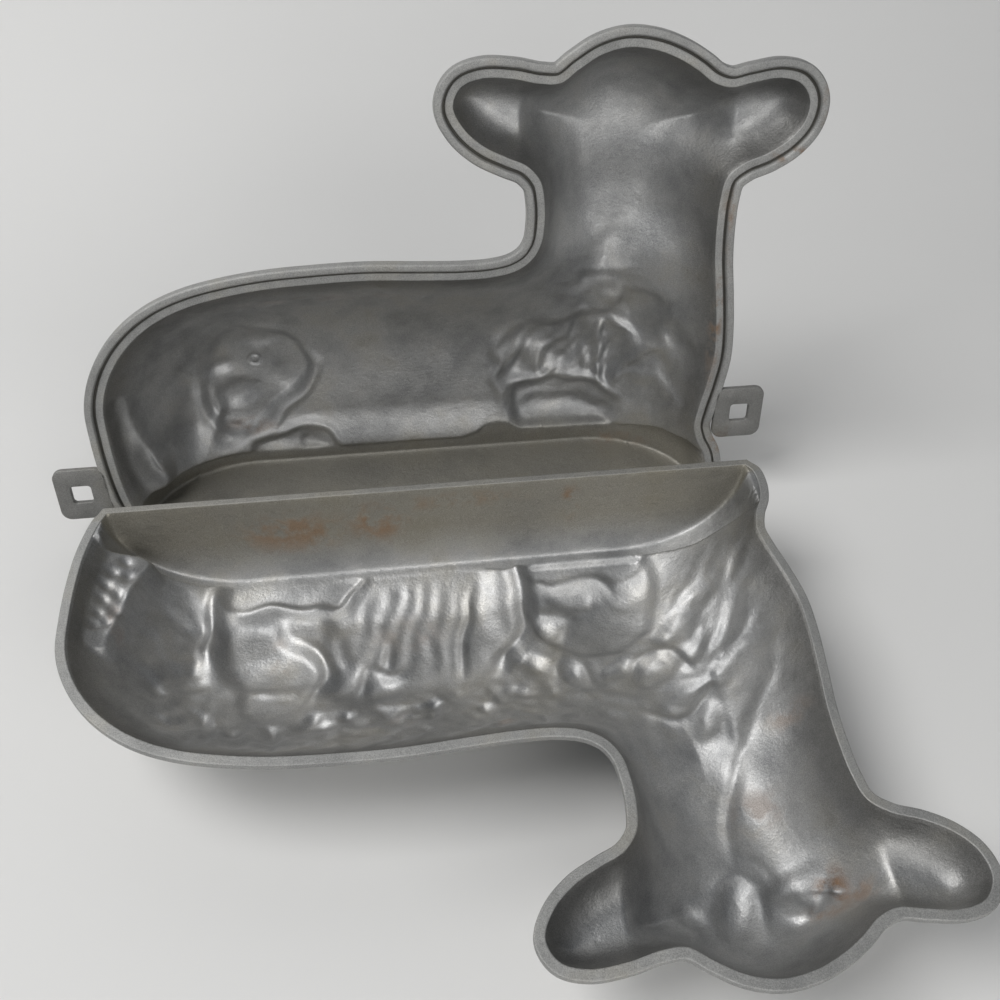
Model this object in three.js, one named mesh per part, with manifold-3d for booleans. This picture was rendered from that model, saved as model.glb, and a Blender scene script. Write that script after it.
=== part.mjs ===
// Cast aluminium cake mould in two halves that close into a lying lamb on an oval base.
//
// Each half is a shell of even wall, open at its rim. The face half lies on its back with the cavity
// up. The back half stands behind it on its flat base wall and carries a raised lip, which goes
// round the rim of the face half when the mould is closed, and two lugs with square holes.
//
// A half is described in its own rim plane: u runs from tail to head, v from the base edge to the
// head, and the depth is measured from the rim plane into the cavity. Lengths are millimetres.
import * as THREE from 'three';
import { mergeVertices } from 'three/addons/utils/BufferGeometryUtils.js';
import Module from 'manifold-3d';

// Driving sizes
const cavityLength = 322;
const bodyDepth = 49;
const platformDepth = 45;
const neckDepth = 41;
const headDepth = 37.5;
const earDepth = 13;
const wall = 3.2;

// Rim, lip and how the halves meet
const rimWidth = 4;
const rimThickness = 3;
const lipClearance = 0.35;
const lipWidth = 4.2;
const lipHeight = 2;
const lipTaper = 0.9;
const lipFade = 14;
const lipTailStart = 10;
const lipChestStart = 36;

// Base wall, and the walls that climb from the rim to the body, the head and the ears
const baseDraft = THREE.MathUtils.degToRad(9);
const baseFillet = 5;
const bodyFlank = 46;
const headFlank = 26;
const earFlank = 8;
const earRootWidth = 13;
const reliefFade = 9.6;

// Platform under the lamb: its height over the base wall, the step up to it, and its side wall
const platformHeight = 12;
const platformStep = 3.8;
const platformSlope = 6;

// Lugs of the back half
const lugLength = 22;
const lugHeight = 28;
const lugThickness = 2.8;
const lugRound = 6;
const lugHole = 9.5;
const lugHoleRound = 2;
const lugRoot = 2.5;
const lugHoleInset = 12;
const tailLugHeight = 25;
const chestLugHeight = 45;

// How the halves lie
const faceTilt = THREE.MathUtils.degToRad(5);
const backLean = baseDraft;
const backDistance = 50;

// Spacing of the mesh: along the outline, between points near it, and over the middle of the
// inner and the outer surface; rings of points follow the outline at shares of the ring spacing
const outlineSpacing = 4.8;
const ringSpacing = 2.6;
const latticeSpacing = 6.8;
const outerLatticeSpacing = 9;
const innerRingShares = [0.65, 1.7, 3, 4.8];
const outerRingShares = [1.35, 2.5, 4, 6];
const ringSlackShare = 0.1;
const pointGapShare = 0.75;
const latticeGapShare = 0.6;
const roundingShare = 1e-12;
const mergeDistance = 0.0003;

// Cavity outline from the base corner at the tail, over the back and the head, to the base corner
// at the chest, as shares of the cavity length
const outlineShares = [
  [0.0264, 0], [0.0171, 0.022], [0.0062, 0.067], [0.0012, 0.116], [0.0, 0.168], [0.0028, 0.216],
  [0.0171, 0.258], [0.0404, 0.295], [0.0698, 0.325], [0.1056, 0.349], [0.1475, 0.366], [0.194, 0.377],
  [0.25, 0.385], [0.32, 0.389], [0.395, 0.39], [0.47, 0.386], [0.53, 0.3835], [0.572, 0.385],
  [0.604, 0.392], [0.627, 0.407], [0.64, 0.429], [0.6445, 0.458], [0.644, 0.49], [0.638, 0.518],
  [0.62, 0.539], [0.592, 0.552], [0.561, 0.568], [0.535, 0.592], [0.5225, 0.619], [0.533, 0.642],
  [0.56, 0.652], [0.6, 0.65], [0.635, 0.643], [0.662, 0.643], [0.687, 0.66], [0.715, 0.676],
  [0.748, 0.6835], [0.783, 0.6795], [0.815, 0.668], [0.842, 0.653], [0.865, 0.637], [0.889, 0.63],
  [0.918, 0.635], [0.955, 0.6395], [0.984, 0.632], [1.0, 0.61], [0.9975, 0.583], [0.98, 0.56],
  [0.953, 0.543], [0.92, 0.53], [0.8985, 0.512], [0.892, 0.483], [0.891, 0.44], [0.894, 0.392],
  [0.902, 0.335], [0.9085, 0.28], [0.91, 0.236], [0.903, 0.187], [0.8945, 0.146], [0.891, 0.116],
  [0.899, 0.088], [0.912, 0.063], [0.918, 0.036], [0.9165, 0.012], [0.909, 0]
];

// Floor of the body: full depth over a flat middle, falling to a share of it at the rounded ends
// and above the body's axis
const bodyMiddleShare = 0.45;
const bodyFlatShare = 0.27;
const bodyEndShare = 0.2;
const bodyEndDepthShare = 0.4;
const bodyAxisShare = 0.165;
const bodyRiseShare = 0.25;
const bodyTopDepthShare = 0.25;
const platformMiddleShare = 0.465;
const platformFlatShare = 0.265;
const platformEndShare = 0.195;
const platformEndPower = 1.6;

// Where the body gives way to the chest, the neck, the head and the ears
const chestStartShare = 0.6;
const chestFootShare = 0.2;
const chestRiseShare = 0.2;
const neckStartShare = 0.36;
const headStartShare = 0.46;
const blendShare = 0.08;
const earFootShare = 0.5;
const tailEarRootShare = 0.635;
const headEarRootShare = 0.893;

// Points on a ball of the wall's radius, as shares of that radius, for the outer surface
const ballRingShares = [0, 0.6, 0.92, 0.985];
const ballRingPoints = 8;

// Relief forms: middle, half length and half width as shares of the cavity length, turn in
// degrees, and rise into the metal as a share of the body depth; plain ones fade evenly, and
// stepped ones have a flat top with a sharp edge
const plain = 1;
const stepped = 3;
const faceFormShares = [
  // hind foot, thigh, rump and tail
  [0.25, 0.066, 0.085, 0.032, 0, 0.08, stepped],
  [0.215, 0.178, 0.1, 0.082, 35, 0.11, stepped],
  [0.125, 0.11, 0.055, 0.026, 90, 0.09, plain],
  [0.11, 0.2, 0.05, 0.03, 80, 0.05, plain],
  [0.035, 0.1, 0.09, 0.03, 105, 0.09, plain],
  [0.06, 0.13, 0.09, 0.028, 90, -0.1, plain],
  // ribs of wool on the belly
  [0.45, 0.14, 0.105, 0.115, 0, 0.07, stepped],
  [0.38, 0.14, 0.075, 0.01, 80, -0.035, plain],
  [0.413, 0.14, 0.085, 0.009, 88, -0.035, plain],
  [0.445, 0.135, 0.08, 0.009, 90, -0.03, plain],
  [0.49, 0.16, 0.08, 0.011, 97, -0.07, plain],
  [0.56, 0.13, 0.1, 0.028, 88, -0.12, plain],
  // foreleg and hoof
  [0.665, 0.135, 0.095, 0.085, 0, 0.09, stepped],
  [0.665, 0.066, 0.095, 0.028, 0, 0.095, stepped],
  [0.65, 0.098, 0.06, 0.009, 0, -0.06, plain],
  // locks of wool on the chest
  [0.64, 0.245, 0.045, 0.022, -60, 0.06, plain],
  [0.69, 0.235, 0.05, 0.022, -55, 0.07, plain],
  [0.74, 0.28, 0.05, 0.02, -20, 0.07, plain],
  [0.735, 0.215, 0.055, 0.022, -55, 0.07, plain],
  [0.785, 0.24, 0.05, 0.022, -55, 0.08, plain],
  [0.79, 0.165, 0.06, 0.024, -60, 0.08, plain],
  [0.83, 0.195, 0.06, 0.022, -62, 0.07, plain],
  [0.835, 0.12, 0.06, 0.024, -60, 0.07, plain],
  [0.865, 0.155, 0.055, 0.018, -65, 0.06, plain],
  // wool along the back
  [0.14, 0.3, 0.028, 0.02, 30, 0.04, plain],
  [0.21, 0.33, 0.028, 0.02, 15, 0.04, plain],
  [0.28, 0.325, 0.028, 0.02, 0, 0.04, plain],
  [0.35, 0.335, 0.028, 0.02, 0, 0.04, plain],
  [0.42, 0.325, 0.028, 0.02, 0, 0.04, plain],
  [0.49, 0.335, 0.028, 0.02, 0, 0.04, plain],
  [0.56, 0.33, 0.028, 0.02, 0, 0.04, plain],
  // fold of the neck, brow, eyes and muzzle
  [0.83, 0.385, 0.16, 0.012, -62, -0.07, plain],
  [0.765, 0.62, 0.09, 0.05, 0, 0.05, plain],
  [0.83, 0.59, 0.028, 0.024, 0, 0.09, plain],
  [0.705, 0.59, 0.026, 0.022, 0, 0.07, plain],
  [0.76, 0.545, 0.075, 0.06, 90, 0.13, plain]
];
const backFormShares = [
  // haunch, rump, hind foot and tail
  [0.215, 0.178, 0.11, 0.085, 35, 0.08, stepped],
  [0.105, 0.12, 0.075, 0.03, 90, 0.08, plain],
  [0.25, 0.068, 0.075, 0.026, 0, 0.07, plain],
  [0.03, 0.08, 0.08, 0.026, 110, 0.07, plain],
  // chest locks and foreleg
  [0.68, 0.19, 0.05, 0.03, -10, 0.08, plain],
  [0.66, 0.145, 0.045, 0.03, 0, 0.06, plain],
  [0.735, 0.165, 0.06, 0.022, 90, 0.06, plain],
  [0.79, 0.16, 0.05, 0.024, 80, 0.09, plain],
  [0.83, 0.245, 0.05, 0.035, 110, 0.09, plain],
  [0.85, 0.16, 0.045, 0.03, 60, 0.08, plain],
  [0.85, 0.1, 0.06, 0.03, -30, 0.09, plain],
  [0.7, 0.085, 0.08, 0.03, 0, 0.1, stepped],
  [0.7, 0.135, 0.09, 0.01, -8, -0.06, plain]
];

const wasm = await Module();
wasm.setup();

// Smaller of two values, with the corner between them rounded over a width
function softMin(a, b, width) {
  const h = Math.max(width - Math.abs(a - b), 0) / width;
  return Math.min(a, b) - h * h * width / 4;
}

function smooth(value) {
  const t = THREE.MathUtils.clamp(value, 0, 1);
  return t * t * (3 - 2 * t);
}

// Outline points

function cavityOutline() {
  const anchors = outlineShares.map(([u, v]) => new THREE.Vector3(u * cavityLength, v * cavityLength, 0));
  const curve = new THREE.CatmullRomCurve3(anchors, false, 'centripetal');
  const points = curve.getSpacedPoints(Math.round(curve.getLength() / outlineSpacing));
  const open = points.map((p) => new THREE.Vector2(p.x, p.y));
  const first = open[0];
  const last = open[open.length - 1];
  const count = Math.round(last.distanceTo(first) / (outlineSpacing * 2));
  const base = [];
  for (let i = 1; i < count; i += 1) {
    base.push(last.clone().lerp(first, i / count));
  }
  return { points: [...open, ...base], openCount: open.length };
}

const outline = cavityOutline();

// Outward normal at each outline point; the outline runs clockwise as seen with u right and v up
function outlineNormals(points) {
  return points.map((point, i) => {
    const before = points[(i + points.length - 1) % points.length];
    const after = points[(i + 1) % points.length];
    const a = point.clone().sub(before).normalize();
    const b = after.clone().sub(point).normalize();
    const along = a.clone().add(b);
    const miter = 2 / along.lengthSq();
    return new THREE.Vector2(-along.y, along.x).multiplyScalar(miter);
  });
}

const normals = outlineNormals(outline.points);

// The outline moved out, each point by its own distance
function ring(offsets) {
  return outline.points.map((point, i) => point.clone().addScaledVector(normals[i], offsets[i]));
}

function nearestOnEdges(points, closed, u, v) {
  let best = Infinity;
  const count = closed ? points.length : points.length - 1;
  for (let i = 0; i < count; i += 1) {
    const a = points[i];
    const b = points[(i + 1) % points.length];
    const du = b.x - a.x;
    const dv = b.y - a.y;
    const t = THREE.MathUtils.clamp(((u - a.x) * du + (v - a.y) * dv) / (du * du + dv * dv), 0, 1);
    best = Math.min(best, Math.hypot(u - a.x - t * du, v - a.y - t * dv));
  }
  return best;
}

function isInside(points, u, v) {
  let inside = false;
  for (let i = 0, j = points.length - 1; i < points.length; j = i, i += 1) {
    const a = points[i];
    const b = points[j];
    if ((a.y > v) !== (b.y > v) && u < (b.x - a.x) * (v - a.y) / (b.y - a.y) + a.x) {
      inside = !inside;
    }
  }
  return inside;
}

const flankEdge = outline.points.slice(0, outline.openCount);

// Distance in from the outline, where the base edge doesn't count
function inset(u, v) {
  const distance = nearestOnEdges(flankEdge, false, u, v);
  return isInside(outline.points, u, Math.max(v, mergeDistance)) ? distance : -distance;
}

// Depth of the cavity

// One over a flat middle, falling in a round curve to nothing past it
function endRound(share, middle, flatPart, end, power) {
  const past = Math.max(Math.abs(share - middle) - flatPart, 0) / end;
  return Math.pow(Math.max(1 - Math.pow(past, power), 0), 1 / power);
}

function earShare(u, v) {
  const above = smooth((v / cavityLength - earFootShare) * cavityLength / earRootWidth);
  const tail = smooth((tailEarRootShare * cavityLength - u) / earRootWidth + 0.5);
  const head = smooth((u - headEarRootShare * cavityLength) / earRootWidth + 0.5);
  return above * Math.max(tail, head);
}

function formRise(shares, u, v) {
  let rise = 0;
  for (const [midU, midV, halfLength, halfWidth, turn, share, kind] of shares) {
    const angle = THREE.MathUtils.degToRad(turn);
    const du = u / cavityLength - midU;
    const dv = v / cavityLength - midV;
    const along = (du * Math.cos(angle) + dv * Math.sin(angle)) / halfLength;
    const across = (dv * Math.cos(angle) - du * Math.sin(angle)) / halfWidth;
    const reach = Math.pow(along * along + across * across, kind);
    if (reach < 1) {
      rise += share * bodyDepth * (1 - reach) * (1 - reach);
    }
  }
  return rise;
}

function bodyFloor(u, v) {
  const upShare = v / cavityLength;
  const ends = endRound(u / cavityLength, bodyMiddleShare, bodyFlatShare, bodyEndShare, 2);
  const top = upShare > bodyAxisShare ? endRound(upShare, bodyAxisShare, 0, bodyRiseShare, 2) : 1;
  const alongShare = THREE.MathUtils.lerp(bodyEndDepthShare, 1, ends);
  return bodyDepth * alongShare * THREE.MathUtils.lerp(bodyTopDepthShare, 1, top);
}

function platformFloor(u, edge) {
  const uShare = u / cavityLength;
  const ends = endRound(uShare, platformMiddleShare, platformFlatShare, platformEndShare, platformEndPower);
  return Math.min(platformDepth * ends, edge * platformSlope);
}

function cavityDepth(half, u, v) {
  const edge = inset(u, v);
  if (edge <= 0) {
    return 0;
  }
  const { lerp } = THREE.MathUtils;
  const upShare = v / cavityLength;
  const ear = earShare(u, v);
  const neck = smooth((upShare - neckStartShare) / blendShare);
  const head = smooth((upShare - headStartShare) / blendShare);
  const chest = smooth((u / cavityLength - chestStartShare) / blendShare)
    * smooth((upShare - chestFootShare) / chestRiseShare);
  const trunk = lerp(bodyFloor(u, v), neckDepth, Math.max(neck, chest));
  const floor = lerp(lerp(trunk, headDepth, head), earDepth, ear);
  const flank = lerp(lerp(bodyFlank, headFlank, neck), earFlank, ear);
  const climb = 1 - Math.pow(1 - Math.min(edge / flank, 1), 2);
  const relief = formRise(half.formShares, u, v) * Math.min(edge / reliefFade, 1);
  const onPlatform = 1 - smooth((v - platformHeight) / platformStep);
  const standing = lerp((floor + relief) * climb, platformFloor(u, edge), onPlatform);
  const baseSlope = Math.max(v, 0) / Math.tan(baseDraft);
  return Math.max(softMin(baseSlope, standing, baseFillet), 0);
}

// Underside of the shell: the cavity moved out by the wall, held to the plane of the base wall
function outerDepth(half, u, v) {
  let deepest = rimThickness;
  for (const share of ballRingShares) {
    const reach = wall * share;
    const height = Math.sqrt(wall * wall - reach * reach);
    const steps = share === 0 ? 1 : ballRingPoints;
    for (let i = 0; i < steps; i += 1) {
      const angle = i / steps * Math.PI * 2;
      const depth = cavityDepth(half, u + reach * Math.cos(angle), v + reach * Math.sin(angle));
      if (depth > 0) {
        deepest = Math.max(deepest, depth + height);
      }
    }
  }
  const basePlane = (v + wall / Math.cos(baseDraft)) / Math.tan(baseDraft);
  return Math.max(Math.min(deepest, basePlane), rimThickness);
}

// Triangles over a flat region

// Heights of two rows of points, one on each side of the crease between base wall and platform
function creaseRows(shift) {
  return [-1, 1].map((way) => (platformDepth + way * baseFillet) * Math.tan(baseDraft) - shift);
}

// Points inside a closed boundary: the rows, then rings that follow it, then a triangular lattice
function scatter(boundary, rows, insets, spacing) {
  const found = [];
  const place = (u, v, clear, gap) => {
    if (!isInside(boundary, u, v) || nearestOnEdges(boundary, true, u, v) < clear) {
      return;
    }
    if (found.every((p) => Math.hypot(p.x - u, p.y - v) > gap)) {
      found.push(new THREE.Vector2(u, v));
    }
  };
  const box = new THREE.Box2().setFromPoints(boundary);
  for (const v of rows) {
    for (let u = box.min.x; u < box.max.x; u += outlineSpacing * 2) {
      place(u, v, ringSpacing, ringSpacing);
    }
  }
  const inward = outlineNormals(boundary);
  for (const distance of insets) {
    boundary.forEach((point, i) => {
      const at = point.clone().addScaledVector(inward[i].clone().normalize(), -distance);
      place(at.x, at.y, distance * (1 - ringSlackShare), ringSpacing * pointGapShare);
    });
  }
  const rowStep = spacing * Math.sqrt(0.75);
  const clear = insets[insets.length - 1] + spacing / 2;
  let row = 0;
  for (let v = box.min.y; v < box.max.y; v += rowStep) {
    row += 1;
    for (let u = box.min.x + (row % 2) * spacing / 2; u < box.max.x; u += spacing) {
      place(u, v, clear, spacing * latticeGapShare);
    }
  }
  return found;
}

function circumcircle(points, a, b, c) {
  const ax = points[a].x;
  const ay = points[a].y;
  const bx = points[b].x - ax;
  const by = points[b].y - ay;
  const cx = points[c].x - ax;
  const cy = points[c].y - ay;
  const twice = 2 * (bx * cy - by * cx);
  const bb = bx * bx + by * by;
  const cc = cx * cx + cy * cy;
  const x = (cy * bb - by * cc) / twice;
  const y = (bx * cc - cx * bb) / twice;
  return { x: ax + x, y: ay + y, r2: x * x + y * y };
}

// Delaunay triangles of the points, by adding one point at a time, kept inside the boundary
function triangulate(boundary, inner) {
  const points = [...boundary, ...inner];
  const box = new THREE.Box2().setFromPoints(points);
  const size = box.getSize(new THREE.Vector2()).length();
  const middle = box.getCenter(new THREE.Vector2());
  const count = points.length;
  const all = [
    ...points,
    new THREE.Vector2(middle.x - size * 20, middle.y - size * 9),
    new THREE.Vector2(middle.x + size * 21, middle.y - size * 11),
    new THREE.Vector2(middle.x + size, middle.y + size * 23)
  ];
  const make = (a, b, c) => ({ corners: [a, b, c], circle: circumcircle(all, a, b, c) });
  let triangles = [make(count, count + 1, count + 2)];
  for (let i = 0; i < count; i += 1) {
    const p = all[i];
    const edges = new Map();
    const kept = [];
    for (const triangle of triangles) {
      const { x, y, r2 } = triangle.circle;
      if ((p.x - x) ** 2 + (p.y - y) ** 2 < r2 * (1 - roundingShare)) {
        const [a, b, c] = triangle.corners;
        for (const [from, to] of [[a, b], [b, c], [c, a]]) {
          if (!edges.delete(`${to},${from}`)) {
            edges.set(`${from},${to}`, [from, to]);
          }
        }
      } else {
        kept.push(triangle);
      }
    }
    for (const [from, to] of edges.values()) {
      kept.push(make(from, to, i));
    }
    triangles = kept;
  }
  return triangles.map((triangle) => triangle.corners).filter(([a, b, c]) => {
    if (Math.max(a, b, c) >= count) {
      return false;
    }
    const u = (points[a].x + points[b].x + points[c].x) / 3;
    const v = (points[a].y + points[b].y + points[c].y) / 3;
    return isInside(boundary, u, v);
  });
}

// The shell of one half

class ShellBuilder {
  constructor(side) {
    this.side = side;
    this.positions = [];
  }

  corner(u, v, depth) {
    this.positions.push(u, v * this.side, -depth);
  }

  triangle(a, b, c) {
    for (const [u, v, depth] of this.side > 0 ? [a, b, c] : [a, c, b]) {
      this.corner(u, v, depth);
    }
  }

  // A surface over a flat region, facing the opening or facing away from it
  field(boundary, rows, insets, spacing, edgeDepth, depthAt, facesOut) {
    const inner = scatter(boundary, rows, insets, spacing);
    const points = [...boundary, ...inner];
    const raised = points.map((p, i) => [p.x, p.y, i < boundary.length ? edgeDepth : depthAt(p.x, p.y)]);
    for (const [a, b, c] of triangulate(boundary, inner)) {
      const ccw = (points[b].x - points[a].x) * (points[c].y - points[a].y)
        > (points[b].y - points[a].y) * (points[c].x - points[a].x);
      const [second, third] = ccw === facesOut ? [b, c] : [c, b];
      this.triangle(raised[a], raised[second], raised[third]);
    }
  }

  // A band between two rings that have the same number of points
  band(inside, insideDepths, outside, outsideDepths) {
    for (let i = 0; i < inside.length; i += 1) {
      const j = (i + 1) % inside.length;
      const a = [inside[i].x, inside[i].y, insideDepths[i]];
      const b = [inside[j].x, inside[j].y, insideDepths[j]];
      const c = [outside[j].x, outside[j].y, outsideDepths[j]];
      const d = [outside[i].x, outside[i].y, outsideDepths[i]];
      this.triangle(a, b, c);
      this.triangle(a, c, d);
    }
  }

  geometry() {
    const soup = new THREE.BufferGeometry();
    soup.setAttribute('position', new THREE.Float32BufferAttribute(this.positions, 3));
    const merged = mergeVertices(soup, mergeDistance);
    const index = Array.from(merged.index.array);
    const kept = [];
    for (let i = 0; i < index.length; i += 3) {
      const [a, b, c] = index.slice(i, i + 3);
      if (a !== b && b !== c && c !== a) {
        kept.push(a, b, c);
      }
    }
    merged.setIndex(kept);
    return merged;
  }
}

const onBase = outline.points.map((point, i) => i === 0 || i >= outline.openCount - 1);
const baseRimWidth = wall / Math.cos(baseDraft);
const flat = (depth) => outline.points.map(() => depth);

// Distances out from the outline: one for its sides and one for its base edge
function offsetsOf(side, base) {
  return onBase.map((isBase) => (isBase ? base : side));
}

// How much of the lip stands at each outline point: none at the base, all of it on the way round
function lipShares() {
  const lengths = [0];
  for (let i = 1; i < outline.openCount; i += 1) {
    lengths.push(lengths[i - 1] + outline.points[i].distanceTo(outline.points[i - 1]));
  }
  const total = lengths[lengths.length - 1];
  return outline.points.map((point, i) => {
    if (onBase[i]) {
      return 0;
    }
    const fromTail = smooth((lengths[i] - lipTailStart) / lipFade);
    const fromChest = smooth((total - lengths[i] - lipChestStart) / lipFade);
    return Math.min(fromTail, fromChest);
  });
}

function shellGeometry(half) {
  const builder = new ShellBuilder(half.side);
  const cavityEdge = outline.points;
  const lowerBase = baseRimWidth - rimThickness * Math.tan(baseDraft);
  const innerRings = innerRingShares.map((share) => share * ringSpacing);
  const outerStart = half.hasLip ? lipClearance + lipWidth : 0;
  const outerRings = outerRingShares.map((share) => share * ringSpacing + outerStart);
  const innerAt = (u, v) => cavityDepth(half, u, v);
  builder.field(cavityEdge, creaseRows(0), innerRings, latticeSpacing, 0, innerAt, true);
  let outer;
  if (half.hasLip) {
    const shares = lipShares();
    const seat = rimWidth + lipClearance;
    const outerOffset = seat + lipWidth;
    const heights = shares.map((share) => -lipHeight * share);
    const ledge = ring(offsetsOf(seat, baseRimWidth));
    const crest = ring(onBase.map((isBase, i) => (isBase ? baseRimWidth : seat + lipTaper * shares[i])));
    const side = ring(offsetsOf(outerOffset, baseRimWidth));
    outer = ring(offsetsOf(outerOffset, lowerBase));
    builder.band(cavityEdge, flat(0), ledge, flat(0));
    builder.band(ledge, flat(0), crest, heights);
    builder.band(crest, heights, side, heights);
    builder.band(side, heights, outer, flat(rimThickness));
  } else {
    const side = ring(offsetsOf(rimWidth, baseRimWidth));
    outer = ring(offsetsOf(rimWidth, lowerBase));
    builder.band(cavityEdge, flat(0), side, flat(0));
    builder.band(side, flat(0), outer, flat(rimThickness));
  }
  const outerAt = (u, v) => outerDepth(half, u, v);
  const outerRows = creaseRows(baseRimWidth - wall * Math.tan(baseDraft));
  builder.field(outer, outerRows, outerRings, outerLatticeSpacing, rimThickness, outerAt, false);
  return builder.geometry();
}

// Lugs and the joining of solids

function solidOf(geometry) {
  const bare = new THREE.BufferGeometry();
  bare.setAttribute('position', geometry.attributes.position);
  if (geometry.index) {
    bare.setIndex(geometry.index);
  }
  const merged = mergeVertices(bare, mergeDistance);
  const vertProperties = Float32Array.from(merged.attributes.position.array);
  const triVerts = Uint32Array.from(merged.index.array);
  return new wasm.Manifold(new wasm.Mesh({ numProp: 3, vertProperties, triVerts }));
}

function geometryOf(solid) {
  const mesh = solid.getMesh();
  const geometry = new THREE.BufferGeometry();
  geometry.setAttribute('position', new THREE.BufferAttribute(mesh.vertProperties, mesh.numProp));
  geometry.setIndex(new THREE.BufferAttribute(mesh.triVerts, 1));
  return geometry;
}

// A closed path through corners, each rounded over its own length
function roundedPath(path, corners) {
  corners.forEach(({ at, round }, i) => {
    const before = corners[(i + corners.length - 1) % corners.length].at;
    const after = corners[(i + 1) % corners.length].at;
    const from = at.clone().lerp(before, round / at.distanceTo(before));
    const to = at.clone().lerp(after, round / at.distanceTo(after));
    if (i === 0) {
      path.moveTo(from.x, from.y);
    } else {
      path.lineTo(from.x, from.y);
    }
    if (round > 0) {
      path.quadraticCurveTo(at.x, at.y, to.x, to.y);
    }
  });
  path.closePath();
  return path;
}

// A lug stands out from the lip at a height on the tail side or the chest side
function lugGeometry(height, direction) {
  const low = height - lugHeight / 2;
  const high = height + lugHeight / 2;
  const lipOffset = rimWidth + lipClearance + lipWidth;
  const isBeside = (p) => p.y > low && p.y < high && direction * (p.x - cavityLength / 2) > 0;
  const root = ring(offsetsOf(lipOffset - lugRoot, baseRimWidth)).filter(isBeside);
  root.sort((a, b) => a.y - b.y);
  const tip = direction * (Math.max(...root.map((p) => direction * p.x)) + lugRoot + lugLength);
  const corners = [
    ...root.map((at) => ({ at, round: 0 })),
    { at: new THREE.Vector2(tip, high), round: lugRound },
    { at: new THREE.Vector2(tip, low), round: lugRound }
  ];
  const shape = roundedPath(new THREE.Shape(), corners);
  const middle = tip - direction * lugHoleInset;
  const hole = [[-1, -1], [1, -1], [1, 1], [-1, 1]].map(([across, up]) => ({
    at: new THREE.Vector2(middle + across * lugHole / 2, height + up * lugHole / 2),
    round: lugHoleRound
  }));
  shape.holes.push(roundedPath(new THREE.Path(), hole));
  const options = { depth: lugThickness, bevelEnabled: false, curveSegments: 4 };
  return new THREE.ExtrudeGeometry(shape, options).translate(0, 0, lipHeight - lugThickness);
}

// The two halves

function faceHalf() {
  const half = { side: -1, formShares: faceFormShares, hasLip: false };
  const cast = new THREE.MeshStandardMaterial({ color: 0x8b8b88, roughness: 0.42, metalness: 0.9 });
  const mesh = new THREE.Mesh(shellGeometry(half), cast);
  mesh.name = 'face_half';
  mesh.rotation.x = faceTilt;
  mesh.updateMatrixWorld(true);
  const lowest = new THREE.Box3().setFromObject(mesh, true).min.z;
  mesh.position.z = -lowest;
  return mesh;
}

function backHalf() {
  const half = { side: 1, formShares: backFormShares, hasLip: true };
  const cast = new THREE.MeshStandardMaterial({ color: 0x85857f, roughness: 0.45, metalness: 0.9 });
  const shell = solidOf(shellGeometry(half));
  const tailLug = solidOf(lugGeometry(tailLugHeight, -1));
  const chestLug = solidOf(lugGeometry(chestLugHeight, 1));
  const mesh = new THREE.Mesh(geometryOf(shell.add(tailLug).add(chestLug)), cast);
  mesh.name = 'back_half';
  mesh.rotation.x = Math.PI / 2 - backLean;
  mesh.position.set(0, backDistance, wall);
  return mesh;
}

const mould = new THREE.Group();
mould.add(faceHalf(), backHalf());
mould.updateMatrixWorld(true);
const reach = new THREE.Box3().setFromObject(mould, true);
const middle = reach.getCenter(new THREE.Vector3());
mould.position.set(-middle.x, -middle.y, -reach.min.z);

export default mould;
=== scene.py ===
"""Dressed view of the lamb cake mould: both castings in full detail on a pale studio floor.

A half is built in its own rim plane, as in the CAD source: u runs from tail to head, v from the
base edge to the head, and depth goes from the rim plane into the cavity. These are millimetres.
Everything placed in the scene is in metres.
"""

import math

import bpy
import numpy as np
from mathutils import Matrix, Vector
from mathutils.geometry import delaunay_2d_cdt
from mathutils.kdtree import KDTree


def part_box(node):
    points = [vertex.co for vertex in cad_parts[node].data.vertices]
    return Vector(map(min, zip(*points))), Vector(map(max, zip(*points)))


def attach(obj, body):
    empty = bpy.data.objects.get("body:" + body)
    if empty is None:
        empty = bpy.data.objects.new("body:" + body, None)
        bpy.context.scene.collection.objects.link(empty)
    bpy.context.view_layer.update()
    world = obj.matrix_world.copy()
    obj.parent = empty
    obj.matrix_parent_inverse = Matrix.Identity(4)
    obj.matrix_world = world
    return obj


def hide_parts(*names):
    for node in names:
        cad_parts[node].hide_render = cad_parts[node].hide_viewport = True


MM = 0.001

# Driving sizes of the casting
LENGTH = 322.0
BODY_DEPTH = 49.0
PLATFORM_DEPTH = 45.0
NECK_DEPTH = 41.0
HEAD_DEPTH = 37.5
EAR_DEPTH = 14.0
WALL = 3.2
SHELL = 3.1
DRAFT = math.radians(9)
FACE_TILT = math.radians(5)
BACK_LEAN = DRAFT

# Rim, seat and lip
RIM_WIDTH = 3.95
RIM_THICKNESS = 2.95
SEAT = 4.35
LIP_WIDTH = 4.1
LIP_HEIGHT = 1.95
LIP_FADE = 14.0
LIP_TAIL_START = 10.0
LIP_CHEST_START = 36.0
CORNER_BLEND = 5.0

# Walls that climb from the rim, the base wall's fillet and the platform
BODY_FLANK = 46.0
HEAD_FLANK = 26.0
EAR_FLANK = 11.0
EAR_ROOT = 15.0
BASE_FILLET = 9.0
PLATFORM_HEIGHT = 11.6
PLATFORM_STEP = 2.2
FOOT_SHARE = 0.13
FOOT_RISE = 24.0
PLATFORM_SLOPE = 6.0
RELIEF_FADE = 5.0
FLANK_STRETCH = 1.35
CLIMB_POWER = 2.7
SHELF_SLOPE = 2.2
EAR_LEVEL = 0.5
EAR_RISE = 20.0
TAIL_EAR_END = 0.635
HEAD_EAR_START = 0.893

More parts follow.
